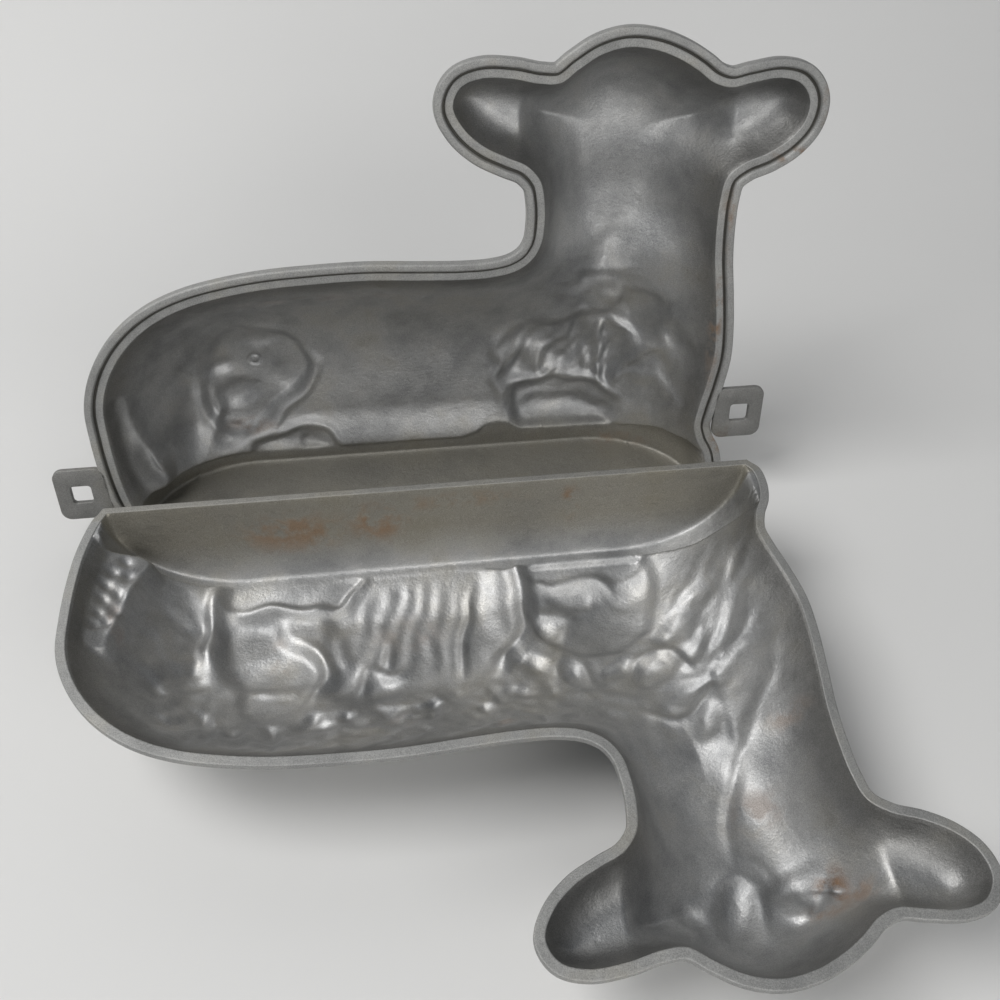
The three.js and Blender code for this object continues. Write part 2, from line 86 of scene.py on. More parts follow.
# Painted shade that darkens the metal near the rims' sides, and softening of the relief
EDGE_PAINTED_SHADE = 0.7
EDGE_PAINTED_SHADE_REACH = 16.0
EDGE_PAINTED_SHADE_RISE = 30.0
SOFTNESS = 1.1
SOFT_STEP = 0.7
SOFT_LOW = -6.0

# Lugs of the back half
LUG_LENGTH = 22.0
LUG_HEIGHT = 28.0
LUG_THICKNESS = 2.8
LUG_ROUND = 5.0
LUG_HOLE = 9.5
LUG_HOLE_ROUND = 1.6
LUG_INSET = 12.0
LUG_BEVEL = 0.45
TAIL_LUG = (-30.14, 25.0, -1)
CHEST_LUG = (321.07, 45.0, 1)

# Camera of the photograph
CAMERA_LENS = 37.84
CAMERA_PLACE = (-0.0215, -0.2926, 0.3793)
CAMERA_AZIMUTH = math.radians(8.339)
CAMERA_PITCH = math.radians(-43.235)
CAMERA_ROLL = math.radians(1.244)

# Spacing of the mesh
EDGE_STEP = 1.0
FINE_STEP = 1.0
COARSE_STEP = 2.4
FIELD_STEP = 1.0
INNER_RINGS = (0.35, 0.8, 1.4, 2.1, 2.9)
OUTER_RINGS = (0.8, 1.9, 3.4)

# Cavity outline from the base corner at the tail to the base corner at the chest, as shares of the
# cavity's length
OUTLINE_SHARES = [
    (0.0264, 0), (0.0171, 0.022), (0.0062, 0.067), (0.0012, 0.116), (0.0, 0.168), (0.0028, 0.216),
    (0.0171, 0.258), (0.0404, 0.295), (0.0698, 0.325), (0.1056, 0.349), (0.1475, 0.366), (0.194, 0.377),
    (0.25, 0.385), (0.32, 0.389), (0.395, 0.39), (0.47, 0.386), (0.53, 0.3835), (0.572, 0.385),
    (0.604, 0.392), (0.627, 0.407), (0.64, 0.429), (0.6445, 0.458), (0.644, 0.49), (0.638, 0.518),
    (0.62, 0.539), (0.592, 0.552), (0.561, 0.568), (0.535, 0.592), (0.5225, 0.619), (0.533, 0.642),
    (0.56, 0.652), (0.6, 0.65), (0.635, 0.643), (0.662, 0.643), (0.687, 0.66), (0.715, 0.676),
    (0.748, 0.6835), (0.783, 0.6795), (0.815, 0.668), (0.842, 0.653), (0.865, 0.637), (0.889, 0.63),
    (0.918, 0.635), (0.955, 0.6395), (0.984, 0.632), (1.0, 0.61), (0.9975, 0.583), (0.98, 0.56),
    (0.953, 0.543), (0.92, 0.53), (0.8985, 0.512), (0.892, 0.483), (0.891, 0.44), (0.894, 0.392),
    (0.902, 0.335), (0.9085, 0.28), (0.91, 0.236), (0.903, 0.187), (0.8945, 0.146), (0.891, 0.116),
    (0.899, 0.088), (0.912, 0.063), (0.918, 0.036), (0.9165, 0.012), (0.909, 0),
]

# Relief. A mound is (u, v, half length, half width, turn, rise, shoulder): it rises into the metal by
# rise, and its edge falls over the share called shoulder of its size. A stroke is (points, half
# width, rise). A patch is (closed outline, edge width, rise). A shelf is (closed outline, edge width,
# depth at its first point, slope along u, slope along v). Folds are (closed outline, spacing, lean,
# rise) and wool is (closed outline, lump size, rise).
FACE_SHELVES = [
    (((4, 62), (13, 62), (15, 54), (18, 42), (22, 28), (26, 15), (10, 11), (6, 24), (3, 42)), 4.0, 8.0,
     0.45, 0.02),
]
FACE_PATCHES = [
    # thigh and its upper lobe, hind foot
    (((50, 34), (52, 48), (55, 58), (62, 66), (72, 66), (84, 66), (93, 64), (94, 56), (88, 48), (80, 40),
     (74, 31),
      (66, 27), (56, 26)), 9.0, 4.2),
    (((60, 68), (63, 78), (69, 85), (77, 82), (86, 75), (91, 67), (82, 66), (70, 67)), 5.0, 2.6),
    (((54, 12), (53, 20), (60, 23), (73, 23.6), (90, 25.2), (102, 24.6), (107, 20), (113, 13), (108, 10),
     (60, 10)),
     4.0, 2.4),
    # foreleg and hoof
    (((188, 18), (188, 34), (191, 46), (198, 55), (208, 61), (220, 62), (232, 58), (241, 50), (246, 38),
     (248, 26),
      (246, 12), (236, 9), (200, 9)), 5.0, 3.8),
    (((191, 9), (192, 19), (200, 21.5), (212, 20), (222, 19.5), (234, 22), (245, 19), (247, 12), (236, 8),
     (200, 8)),
     2.6, 1.5),
    # ribs of wool on the belly
    (((98, 24), (98, 40), (100, 54), (98, 66), (106, 75), (124, 74), (146, 74), (158, 74), (167, 66), (171,
     54),
      (172, 40), (172, 26), (170, 8), (140, 4), (116, 8), (106, 14)), 10.0, 2.8),
    # wedge of the neck's fold
    (((262, 84), (262, 100), (260, 116), (262, 124), (268, 114), (274, 104), (279, 92), (282, 80), (276,
     78)), 5.0, 2.4),
]
FACE_MOUNDS = [
    # curls of the tail in two columns
    (7.5, 52, 3.4, 2.8, 30, 2.6, 0.9), (12, 50, 3.2, 2.6, 60, 2.4, 0.9), (7.4, 45, 3.2, 2.8, 10, 2.6, 0.9),
    (13, 42, 3.6, 2.6, 70, 2.4, 0.9), (8, 38, 3.2, 2.8, 40, 2.6, 0.9), (14.5, 34, 3.6, 2.6, 60, 2.4, 0.9),
    (9, 31, 3.2, 2.8, 20, 2.6, 0.9), (16.5, 26, 3.6, 2.4, 70, 2.4, 0.9), (10.5, 24.5, 3.2, 2.6, 30, 2.6, 0.9),
    (14, 18, 3.4, 2.4, 60, 2.4, 0.9),
    # rump and thigh
    (38, 34, 17, 7.5, 88, 3.6, 0.9), (39, 60, 11, 7, 100, 2.6, 0.9), (27, 66, 10, 5, 82, 2.2, 0.9),
    (68, 55, 18, 9, -20, 1.6, 0.9),
    # foreleg with the knob of its knee
    (222, 44, 20, 15, -20, 1.6, 0.9), (196, 45, 8, 6, 60, 2.0, 0.9), (211, 29.5, 13, 5.5, 0, 1.8, 0.7),
    (236, 32, 11, 9, 60, 1.0, 0.9),
    # locks between the ribs and the foreleg, then over the chest
    (180, 60, 8, 5, 70, 2.2, 0.9), (189, 67, 8, 6, 45, 2.4, 0.9), (204, 73, 9, 6, 70, 2.4, 0.9),
    (222, 74, 11, 5, -42, 2.6, 0.9), (236, 77, 9, 7, -42, 2.4, 0.9), (247, 95, 17, 7, -28, 2.8, 0.8),
    (254, 56, 10, 8, -50, 2.8, 0.9), (265, 46, 9, 6, -50, 2.6, 0.9), (257, 70, 8, 4.5, -50, 2.4, 0.9),
    (273, 64, 16, 4.5, -62, 2.8, 0.8), (254, 107, 11, 6, -50, 2.2, 0.9), (215, 103, 6, 6, 60, 1.8, 0.9),
    (263, 88, 8, 5, -30, 1.8, 0.9), (246, 60, 6, 5, 20, 1.2, 0.9), (278, 44, 10, 4, -70, 1.6, 0.9),
    # wool over the back and the belly's upper edge
    (104, 66, 13, 7, -50, 2.2, 0.9), (118, 71, 14, 7, -25, 2.2, 0.9), (92, 92, 12, 8, 60, 2.8, 0.9),
    (126, 95, 10, 6, 40, 2.6, 0.9), (139, 87, 9, 6, 20, 2.2, 0.9), (157, 100, 11, 6, 75, 2.4, 0.9),
    (163, 89, 6, 6, 0, 1.8, 0.9), (175, 83, 8, 7, -40, 2.2, 0.9), (33, 89, 8, 6, 60, 2.0, 0.9),
    (48, 87, 6, 4, 20, 1.6, 0.9), (42, 81, 5, 4, 60, 1.6, 0.9), (74, 98, 11, 5, 75, 2.0, 0.9),
    (152, 80, 11, 9, 20, 1.8, 0.9), (184, 104, 17, 6, 100, 2.0, 0.9), (77, 108, 13, 4.5, 82, 1.6, 0.9),
    (45, 106, 12, 4.5, 70, 1.4, 0.9), (130, 112, 10, 5, 95, 1.4, 0.9), (110, 113, 10, 5, 88, 1.4, 0.9),
    (146, 112, 11, 4.5, 110, 1.4, 0.9), (60, 96, 8, 4, 60, 1.4, 0.9), (108, 88, 8, 5, 60, 1.6, 0.9),
    # neck, head, brow, cheeks and eyes
    (280, 124, 13, 8, 100, 1.0, 0.9), (226, 113, 12, 6, 100, 1.4, 0.9), (238, 110, 8, 5, 20, 0.8, 0.9),
    (242, 186, 15, 8, -70, 3.0, 0.9), (226, 187, 8, 5, 40, 1.6, 0.9), (266, 195, 11, 6.5, -15, 2.6, 0.9),
    (271, 187, 6, 4.5, 60, 2.6, 0.8), (266, 179, 12, 5.5, -20, 2.4, 0.9), (282, 185, 8, 7, 60, 1.6, 0.9),
    (262, 158, 22, 14, 80, 1.2, 0.9), (262, 212, 20, 7, -20, 1.0, 0.9),
]
FACE_STROKES = [
    # edge of the tail, creases beside the rump and round the thigh
    (((13, 64), (16, 50), (20, 36), (24, 24), (28, 14)), 2.4, -1.2), (((49, 52), (48, 42), (48, 30), (49,
     14)), 5.2, -4.2),
    (((66, 67), (72, 65.4), (78, 65.4), (86, 67)), 4.0, -1.4), (((92, 70), (97, 62), (95, 52), (87, 43)),
     5.0, -1.6),
    (((60, 25), (71, 25.4), (80, 26.2), (92, 27), (102, 26.4), (107, 23.5), (111, 18.5), (116, 12.5)), 3.6,
     -3.0),
    (((82, 21.5), (84, 16.5)), 0.8, -0.5),
    # ribs
    (((124, 58), (123, 50), (124, 42)), 3.2, -1.8), (((118, 58), (124, 64), (132, 61)), 3.6, -1.4),
    (((156, 66), (157, 56), (159, 44), (162, 30), (164, 22)), 2.4, -2.4), (((111, 74), (111, 64), (115,
     56)), 3.6, -1.4),
    (((107, 56), (104, 48), (102, 40)), 4.5, -1.4),
    # ridge between the belly and the foreleg, then the foreleg
    (((186, 8), (187, 24), (187, 38), (184, 50), (176, 60), (170, 68)), 6.5, -5.0),
    (((193, 25), (197, 21.4), (199, 23.6), (206, 23.8), (214, 22.2), (222, 22.2), (229, 25), (232, 29)),
     1.9, -2.0),
    (((202, 53), (206, 46), (207, 40), (200, 37), (192, 36)), 4.0, -1.5), (((220, 27), (219, 33), (212,
     35.5)), 2.4, -0.8),
    # chest locks
    (((228, 101), (238, 104), (248, 102), (256, 95), (262, 88)), 3.0, -2.6),
    (((253, 82), (252, 74), (249, 68), (240, 67.5), (231, 70)), 3.2, -2.6), (((241, 85), (248, 79), (253,
     73)), 3.2, -1.6),
    (((258, 66), (259, 60), (265, 55)), 2.4, -1.6), (((262, 79), (267, 83), (273, 78), (280, 64)), 2.4, -1.5),
    (((216, 80), (218, 72), (226, 67)), 2.4, -1.5), (((198, 77), (197, 67), (200, 60)), 2.4, -1.5),
    (((212, 80), (210, 71), (208, 65)), 2.4, -1.3), (((279, 49), (284, 54), (289, 60)), 0.6, -0.3),
    (((264, 60), (262, 66), (263, 74)), 2.0, -1.2), (((196, 86), (214, 88), (228, 92)), 5.0, -1.4),
    # fold of the neck
    (((247, 165), (249, 154), (254, 141), (259, 131), (264, 121), (268, 112), (274, 104), (279, 92), (283,
     78)),
     3.4, -2.2),
    # mouth, nose and eyes
    (((249, 164), (254, 166), (258, 171), (260, 177)), 2.0, -0.6), (((220, 199), (227, 193)), 3.6, -1.8),
    (((261, 190), (266, 191), (270, 186), (274, 182)), 2.0, -1.8), (((275, 198), (279, 190), (277, 181)),
     2.2, -1.4),
    (((236, 176), (245, 172), (253, 176)), 2.6, -0.9), (((250, 200), (252, 188), (254, 178)), 4.0, -1.4),
]
FACE_FOLDS = [
    (((114, 24), (112, 44), (118, 60), (136, 62), (150, 62), (154, 44), (156, 24), (138, 18)), 8.4, 0.25,
     0.4),
    (((4, 14), (4, 58), (14, 58), (20, 40), (26, 14)), 5.6, 1.2, 0.4),
    (((254, 40), (250, 66), (262, 80), (276, 76), (284, 50), (282, 34), (268, 30)), 8.5, 0.8, 0.3),
]
FACE_WOOL = [
    (((20, 72), (22, 92), (60, 108), (110, 114), (160, 114), (198, 110), (214, 96), (200, 80), (160, 76),
     (130, 78),
      (104, 78), (92, 76), (82, 88), (60, 88), (48, 74)), 7.4, 4.4),
    (((20, 96), (60, 112), (110, 117), (160, 117), (200, 112), (196, 104), (160, 107), (110, 107), (60, 102),
      (30, 88)), 6.0, 3.2),
    (((18, 30), (15, 60), (24, 84), (40, 92), (52, 84), (46, 60), (42, 34), (34, 24)), 9.5, 3.4),
    (((172, 66), (186, 54), (206, 66), (232, 62), (250, 46), (262, 34), (284, 40), (286, 70), (272, 96),
     (262, 112),
      (236, 114), (206, 98), (186, 90)), 8.0, 1.2),
]
FACE_PLATFORM = [(0, 11.4), (100, 11.4), (160, 11.2), (172, 12.0), (184, 14.5), (190, 12.2), (240, 12.4),
(256, 15),
                 (268, 19), (290, 22)]
BACK_SHELVES = [
    (((2, 70), (9, 70), (11, 56), (15, 40), (20, 26), (20, 16), (10, 14), (5, 30), (2, 50)), 4.0, 7.0, 0.5,
     0.0),
]
BACK_PATCHES = [
    # haunch, hind foot, chest and hoof
    (((44, 30), (40, 46), (42, 62), (48, 78), (60, 88), (74, 86), (86, 80), (93, 70), (94, 60), (88, 50),
     (78, 40),
      (67, 30), (56, 24)), 6.0, 4.6),
    (((60, 12), (62, 19), (74, 23), (88, 25), (99, 24), (103, 18), (106, 12)), 3.4, 2.4),
    (((199, 40), (196, 48), (200, 60), (198, 68), (204, 76), (214, 79), (230, 79), (246, 84), (256, 96),
     (268, 97),
      (278, 84), (286, 64), (286, 44), (278, 30), (262, 16), (206, 14), (200, 28)), 7.0, 3.8),
    (((203, 38), (202, 26), (207, 18), (236, 16), (252, 18), (258, 30), (250, 37), (238, 41), (218, 41)),
     4.0, 2.8),
]
BACK_MOUNDS = [
    # rump, inner haunch and tail
    (31, 40, 24, 8, 90, 4.2, 0.9), (33, 60, 12, 6, 110, 2.0, 0.9), (50, 24, 11, 6, -15, 3.0, 0.9),
    (48, 63, 8, 5, 20, 2.0, 0.9), (57, 47, 12, 8, 20, 2.4, 0.9), (13, 32, 15, 5, 110, 2.2, 0.9),
    (6, 52, 16, 4, 88, 1.6, 0.9), (92, 18, 8, 6, -10, 2.8, 0.9), (74, 19, 12, 5, 0, 1.6, 0.9),
    (82, 56, 10, 8, 60, 1.2, 0.9), (70, 78, 12, 6, 10, 1.2, 0.9),
    # chest locks and leg
    (204, 52, 10, 6, 80, 3.0, 0.9), (227, 56, 14, 9, 40, 3.0, 0.9), (224, 44, 11, 5, 20, 2.4, 0.9),
    (254, 56, 19, 6.5, 84, 3.6, 0.9), (268, 57, 14, 5, 42, 2.6, 0.9), (267, 40, 14, 10, 50, 4.0, 0.9),
    (264, 83, 17, 10, 105, 4.0, 0.9), (279, 56, 11, 5, -60, 2.2, 0.9), (279, 79, 9, 4.5, 100, 2.4, 0.9),
    (235, 70, 14, 6, 100, 2.2, 0.9), (210, 69, 11, 8, 60, 2.2, 0.9), (236, 104, 10, 6, 60, 1.6, 0.9),
    (247, 120, 18, 10, 20, 1.6, 0.9), (258, 101, 10, 6, 20, 1.4, 0.9), (240, 90, 10, 8, 60, 1.2, 0.9),
    # hoof
    (228, 25, 26, 8, -2, 3.0, 0.9), (249, 23, 8, 6, 60, 2.0, 0.9), (216, 36, 12, 5, 0, 1.2, 0.9),
]
BACK_STROKES = [
    (((41, 60), (45, 50), (46, 40), (42, 32), (46, 26), (54, 23.5)), 3.0, -2.6), (((14, 46), (17, 34), (21,
     22)), 3.4, -2.2),
    (((70, 25), (84, 27), (97, 27), (103, 21), (107, 13)), 2.8, -2.0), (((120, 80), (124, 70), (128, 63)),
     0.8, -0.25),
    (((97, 70), (98, 60), (92, 49), (80, 37), (70, 28), (60, 21), (50, 19)), 4.0, -1.6),
    (((196, 76), (192, 66), (194, 56), (190, 46), (194, 38), (192, 28)), 4.0, -1.8),
    (((246, 80), (247, 66), (246, 52), (247, 42)), 3.4, -2.8), (((255, 40), (257, 50), (261, 59), (267,
     66), (276, 70)), 2.6, -2.8),
    (((256, 42), (262, 50), (271, 54)), 1.8, -1.6), (((214, 45), (222, 48), (232, 49)), 2.2, -1.4),
    (((217, 64), (214, 54), (215, 46)), 3.2, -1.8), (((238, 66), (238, 56), (238, 46)), 2.6, -1.6),
    (((250, 79), (256, 74), (263, 71)), 2.6, -1.6), (((276, 94), (276, 82), (274, 70)), 2.4, -2.4),
    (((232, 110), (246, 108), (262, 114)), 3.0, -0.8), (((286, 60), (281, 50), (277, 38)), 3.0, -1.4),
    (((200, 42), (214, 44.5), (232, 45), (246, 41), (257, 33)), 3.4, -2.6),
    (((60, 94), (70, 90), (82, 86), (92, 78)), 4.0, -1.4),
]
BACK_FOLDS = [
    (((198, 44), (200, 70), (230, 78), (262, 70), (284, 60), (280, 36), (262, 34), (240, 46)), 9.0, -0.6,
     0.5),
]
BACK_WOOL = [
    (((30, 84), (46, 104), (80, 112), (130, 114), (190, 110), (200, 96), (150, 96), (96, 92), (60, 90)),
     9.0, 0.8),
    (((204, 84), (206, 60), (198, 40), (240, 44), (270, 30), (286, 46), (284, 80), (268, 100), (240, 112),
     (220, 104)),
     8.0, 1.3),
]
BACK_PLATFORM = [(0, 10), (12, 12.5), (30, 13.6), (60, 13.8), (110, 13.6), (172, 13.6), (180, 16), (186, 21),
                 (192, 22.5), (198, 20.5), (204, 17.5), (230, 16.8), (260, 17), (268, 19.5), (276, 23.5),
                  (286, 24), (296, 18)]
WOOL_SEED = {"face_half": 11, "back_half": 23}

# Slow wander of the relief, so that no form is a plain ellipse: (waves along u, along v, phase, reach)
WANDER_U = [(0.21, 0.09, 0.4, 0.8), (-0.12, 0.24, 2.1, 0.7), (0.38, -0.29, 4.0, 0.25)]
WANDER_V = [(0.10, 0.21, 1.3, 0.8), (0.25, -0.11, 5.2, 0.6), (-0.31, 0.37, 3.1, 0.25)]

# Punched ring and small pits, as (u, v, radius, depth)
BACK_RING = (66.6, 65.0, 2.7, 0.9)
RING_LINE = 0.8
BACK_PITS = [(66.4, 50.6, 0.9, 0.5), (83.5, 45.8, 0.6, 0.4), (30.5, 7.6, 1.0, 0.6), (58, 8.2, 0.8, 0.5),
             (166, 12.2, 0.9, 0.5), (133, 82.4, 0.6, 0.4), (261, 6.6, 1.0, 0.5), (264, 6.7, 0.9, 0.5),
             (222, 171, 0.7, 0.4), (260, 142.6, 0.8, 0.4)]
FACE_PITS = [(58.3, 85.6, 0.6, 0.4), (126, 33, 0.6, 0.4), (132.6, 22.2, 0.6, 0.4), (152.6, 18.6, 0.6, 0.4),
             (254, 151, 0.5, 0.3), (283, 177, 0.7, 0.4), (187, 197.6, 0.6, 0.4)]

# Brown stains as (u, v, reach along u, reach along v, strength)
RUST = {
    "face_half": [(279, 184, 6, 8, 0.9), (273, 192, 9, 4, 0.45), (286, 188, 6, 5, 0.5), (262, 148, 12, 10,
    0.25),
                  (279, 120, 8, 6, 0.3), (86, 3.0, 26, 1.8, 0.6), (124, 2.6, 14, 1.8, 0.7), (212, 2.0, 5,
                   1.4, 0.7), (160, 1.2, 30, 0.7, 0.4),
                  (134, 42, 16, 10, 0.2), (14, 48, 4, 10, 0.25), (168, 106, 6, 4, 0.3), (128, 92, 8, 4, 0.2),
                  (76, 48, 5, 14, 0.2)],
    "back_half": [(317, 174, 9, 3.4, 0.8), (292, 96, 2.6, 36, 0.7), (292, 150, 2.4, 10, 0.5), (330, 196, 3,
    12, 0.4),
                  (256, 9.5, 18, 4, 0.3), (62, 28, 16, 4, 0.3), (300, 28, 5, 10, 0.4), (104, 110, 60, 4,
                   0.15)],
}
RELIEF = {
    "face_half": {"shelves": FACE_SHELVES, "patches": FACE_PATCHES, "mounds": FACE_MOUNDS,
    "strokes": FACE_STROKES,
                  "folds": FACE_FOLDS, "wool": FACE_WOOL, "pits": FACE_PITS, "platform": FACE_PLATFORM},
    "back_half": {"shelves": BACK_SHELVES, "patches": BACK_PATCHES, "mounds": BACK_MOUNDS,
    "strokes": BACK_STROKES,
                  "folds": BACK_FOLDS, "wool": BACK_WOOL, "pits": BACK_PITS, "platform": BACK_PLATFORM},
}


# Small helpers

def smooth(value):
    t = np.clip(value, 0, 1)
    return t * t * (3 - 2 * t)


def mix(a, b, t):
    return a + (b - a) * t


def end_round(share, middle, flat_part, end, power):
    past = np.maximum(np.abs(share - middle) - flat_part, 0) / end
    return np.maximum(1 - past ** power, 0) ** (1 / power)


def curve_through(points, step, closed=False):
    """Points at an even step along a centripetal Catmull-Rom curve."""
    p = np.array(points, float)
    q = np.vstack([p[-1], p, p[0], p[1]]) if closed else np.vstack([2 * p[0] - p[1], p, 2 * p[-1] - p[-2]])
    found = []
    for p0, p1, p2, p3 in zip(q, q[1:], q[2:], q[3:]):
        t1 = np.linalg.norm(p1 - p0) ** 0.5
        t2 = t1 + np.linalg.norm(p2 - p1) ** 0.5
        t3 = t2 + np.linalg.norm(p3 - p2) ** 0.5
        t = np.linspace(t1, t2, 20, endpoint=False)[:, None]
        a1 = (t1 - t) / t1 * p0 + t / t1 * p1
        a2 = (t2 - t) / (t2 - t1) * p1 + (t - t1) / (t2 - t1) * p2
        a3 = (t3 - t) / (t3 - t2) * p2 + (t - t2) / (t3 - t2) * p3
        b1 = (t2 - t) / t2 * a1 + t / t2 * a2
        b2 = (t3 - t) / (t3 - t1) * a2 + (t - t1) / (t3 - t1) * a3
        found.append((t2 - t) / (t2 - t1) * b1 + (t - t1) / (t2 - t1) * b2)
    line = np.vstack(found + [p[:1] if closed else p[-1:]])
    lengths = np.r_[0, np.cumsum(np.linalg.norm(np.diff(line, axis=0), axis=1))]
    count = max(int(round(lengths[-1] / step)), 2)
    at = np.linspace(0, lengths[-1], count + 1)
    even = np.c_[np.interp(at, lengths, line[:, 0]), np.interp(at, lengths, line[:, 1])]
    return even[:-1] if closed else even


def is_inside(points, polygon):
    x, y = points[:, 0], points[:, 1]
    inside = np.zeros(len(points), bool)
    for (ax, ay), (bx, by) in zip(polygon, np.roll(polygon, 1, axis=0)):
        crosses = (ay > y) != (by > y)
        if ay != by:
            inside ^= crosses & (x < (bx - ax) * (y - ay) / (by - ay) + ax)
    return inside


def nearest(points, line):
    """Distance from each point to the nearest of a line's points."""
    tree = KDTree(len(line))
    for i, (x, y) in enumerate(line):
        tree.insert((x, y, 0), i)
    tree.balance()
    return np.array([tree.find((x, y, 0))[2] for x, y in points])


# Outline

SIDE = curve_through([(u * LENGTH, v * LENGTH) for u, v in OUTLINE_SHARES], EDGE_STEP)
BASE_COUNT = int((SIDE[-1, 0] - SIDE[0, 0]) / EDGE_STEP)
BASE_EDGE = np.c_[np.linspace(SIDE[-1, 0], SIDE[0, 0], BASE_COUNT + 1)[1:-1], np.zeros(BASE_COUNT - 1)]
OUTLINE = np.vstack([SIDE, BASE_EDGE])
SIDE_FINE = curve_through([(u * LENGTH, v * LENGTH) for u, v in OUTLINE_SHARES], EDGE_STEP / 4)
SIDE_LENGTHS = np.r_[0, np.cumsum(np.linalg.norm(np.diff(SIDE, axis=0), axis=1))]


def side_normals():
    reach = 3
    padded = np.vstack([SIDE[:1].repeat(reach, 0), SIDE, SIDE[-1:].repeat(reach, 0)])
    along = padded[2 * reach:] - padded[:-2 * reach]
    along /= np.linalg.norm(along, axis=1)[:, None]
    return np.c_[-along[:, 1], along[:, 0]]


def corner_normal(side, base):
    total = side + base
    return total * 2 / (total @ total)


def outline_normals():
    side = side_normals()
    down = np.array([0.0, -1.0])
    side[0] = corner_normal(side[0], down)
    side[-1] = corner_normal(side[-1], down)
    return np.vstack([side, np.tile(down, (len(BASE_EDGE), 1))])


NORMALS = outline_normals()
BASE_RIM = WALL / math.cos(DRAFT)
FROM_CORNER = np.minimum(SIDE_LENGTHS, SIDE_LENGTHS[-1] - SIDE_LENGTHS)
SIDE_SHARE = np.r_[smooth(FROM_CORNER / CORNER_BLEND), np.zeros(len(BASE_EDGE))]
LIP_SHARE = np.r_[np.minimum(smooth((SIDE_LENGTHS - LIP_TAIL_START) / LIP_FADE),
                             smooth((SIDE_LENGTHS[-1] - SIDE_LENGTHS - LIP_CHEST_START) / LIP_FADE)),
                  np.zeros(len(BASE_EDGE))]


# Depth of the cavity

def mound(u, v, place):
    mid_u, mid_v, half_length, half_width, turn, rise, shoulder = place
    angle = math.radians(turn)
    along = ((u - mid_u) * math.cos(angle) + (v - mid_v) * math.sin(angle)) / half_length
    across = ((v - mid_v) * math.cos(angle) - (u - mid_u) * math.sin(angle)) / half_width
    return rise * smooth((1.15 - np.hypot(along, across)) / shoulder)


def stroke(u, v, points, half_width, rise):
    line = curve_through(points, half_width / 3)
    low, high = line.min(0) - half_width, line.max(0) + half_width
    near = (u > low[0]) & (u < high[0]) & (v > low[1]) & (v < high[1])
    out = np.zeros_like(u)
    if near.any():
        at = np.c_[u[near], v[near]]
        span = at[:, None] - line[None]
        distance = np.sqrt((span ** 2).sum(-1))
        best = distance.argmin(1)
        fade = smooth(np.minimum(best, len(line) - 1 - best) / (len(line) * 0.3) + 0.35)
        out[near] = rise * fade * np.maximum(1 - (distance.min(1) / half_width) ** 2, 0) ** 2
    return out


def share_inside(u, v, points, edge):
    """One inside a closed curve and none outside it, over an edge of that width."""
    line = curve_through(points, 1.0, closed=True)
    low, high = line.min(0) - edge, line.max(0) + edge
    near = (u > low[0]) & (u < high[0]) & (v > low[1]) & (v < high[1])
    out = np.zeros_like(u)
    at = np.c_[u[near], v[near]]
    out[near] = smooth(nearest(at, line) * np.where(is_inside(at, line), 1, -1) / edge + 0.5)
    return out


def wool(u, v, points, size, rise, seed):
    """Irregular lumps side by side, fading at the edge of their patch."""
    inside = share_inside(u, v, points, size * 1.6)
    random = np.random.default_rng(seed)
    low, high = np.min(points, 0) - size, np.max(points, 0) + size
    rows = np.arange(low[1], high[1], size * 0.85)
    centres = np.array([(x + (i % 2) * size / 2, y) for i, y in enumerate(rows)
                        for x in np.arange(low[0], high[0], size)])
    centres += random.uniform(-size * 0.36, size * 0.36, centres.shape)
    heights = random.uniform(0.3, 1.0, len(centres))
    turns = random.uniform(0, math.pi, len(centres))
    near = inside > 0
    at = np.c_[u[near], v[near]]
    span = at[:, None] - centres[None]
    along = span[..., 0] * np.cos(turns) + span[..., 1] * np.sin(turns)
    across = span[..., 1] * np.cos(turns) - span[..., 0] * np.sin(turns)
    reach = np.hypot(along / 1.2, across * 1.2) / (size * 0.8)
    lumps = heights * np.exp(-2.2 * reach ** 2)
    out = np.zeros_like(u)
    out[near] = rise * ((lumps ** 3).sum(1) ** (1 / 3) - 0.35) * inside[near]
    return out


def folds(u, v, points, spacing, lean, rise):
    """Soft parallel folds that run along v."""
    wave = np.cos(2 * math.pi * (u + lean * v) / spacing + 0.7 * np.sin(v * 0.17 + u * 0.05))
    return rise * wave * share_inside(u, v, points, 8.0)


def wander(u, v, waves):
    return sum(reach * np.sin(along * u + across * v + phase) for along, across, phase, reach in waves)


def relief(name, u, v):
    forms = RELIEF[name]
    calm = 1 - 0.8 * smooth((v - 95) / 30)
    u, v = u + wander(u, v, WANDER_U) * calm, v + wander(u, v, WANDER_V) * calm * smooth((v - 8) / 20)
    total = np.zeros_like(u)
    for points, edge, rise in forms["patches"]:
        total += rise * share_inside(u, v, points, edge)
    for place in forms["mounds"]:
        total += mound(u, v, place)
    for points, half_width, rise in forms["strokes"]:
        total += stroke(u, v, points, half_width, rise)
    for points, spacing, lean, rise in forms["folds"]:
        total += folds(u, v, points, spacing, lean, rise)
    for i, (points, size, rise) in enumerate(forms["wool"]):
        total += wool(u, v, points, size, rise, WOOL_SEED[name] + i)
    return total


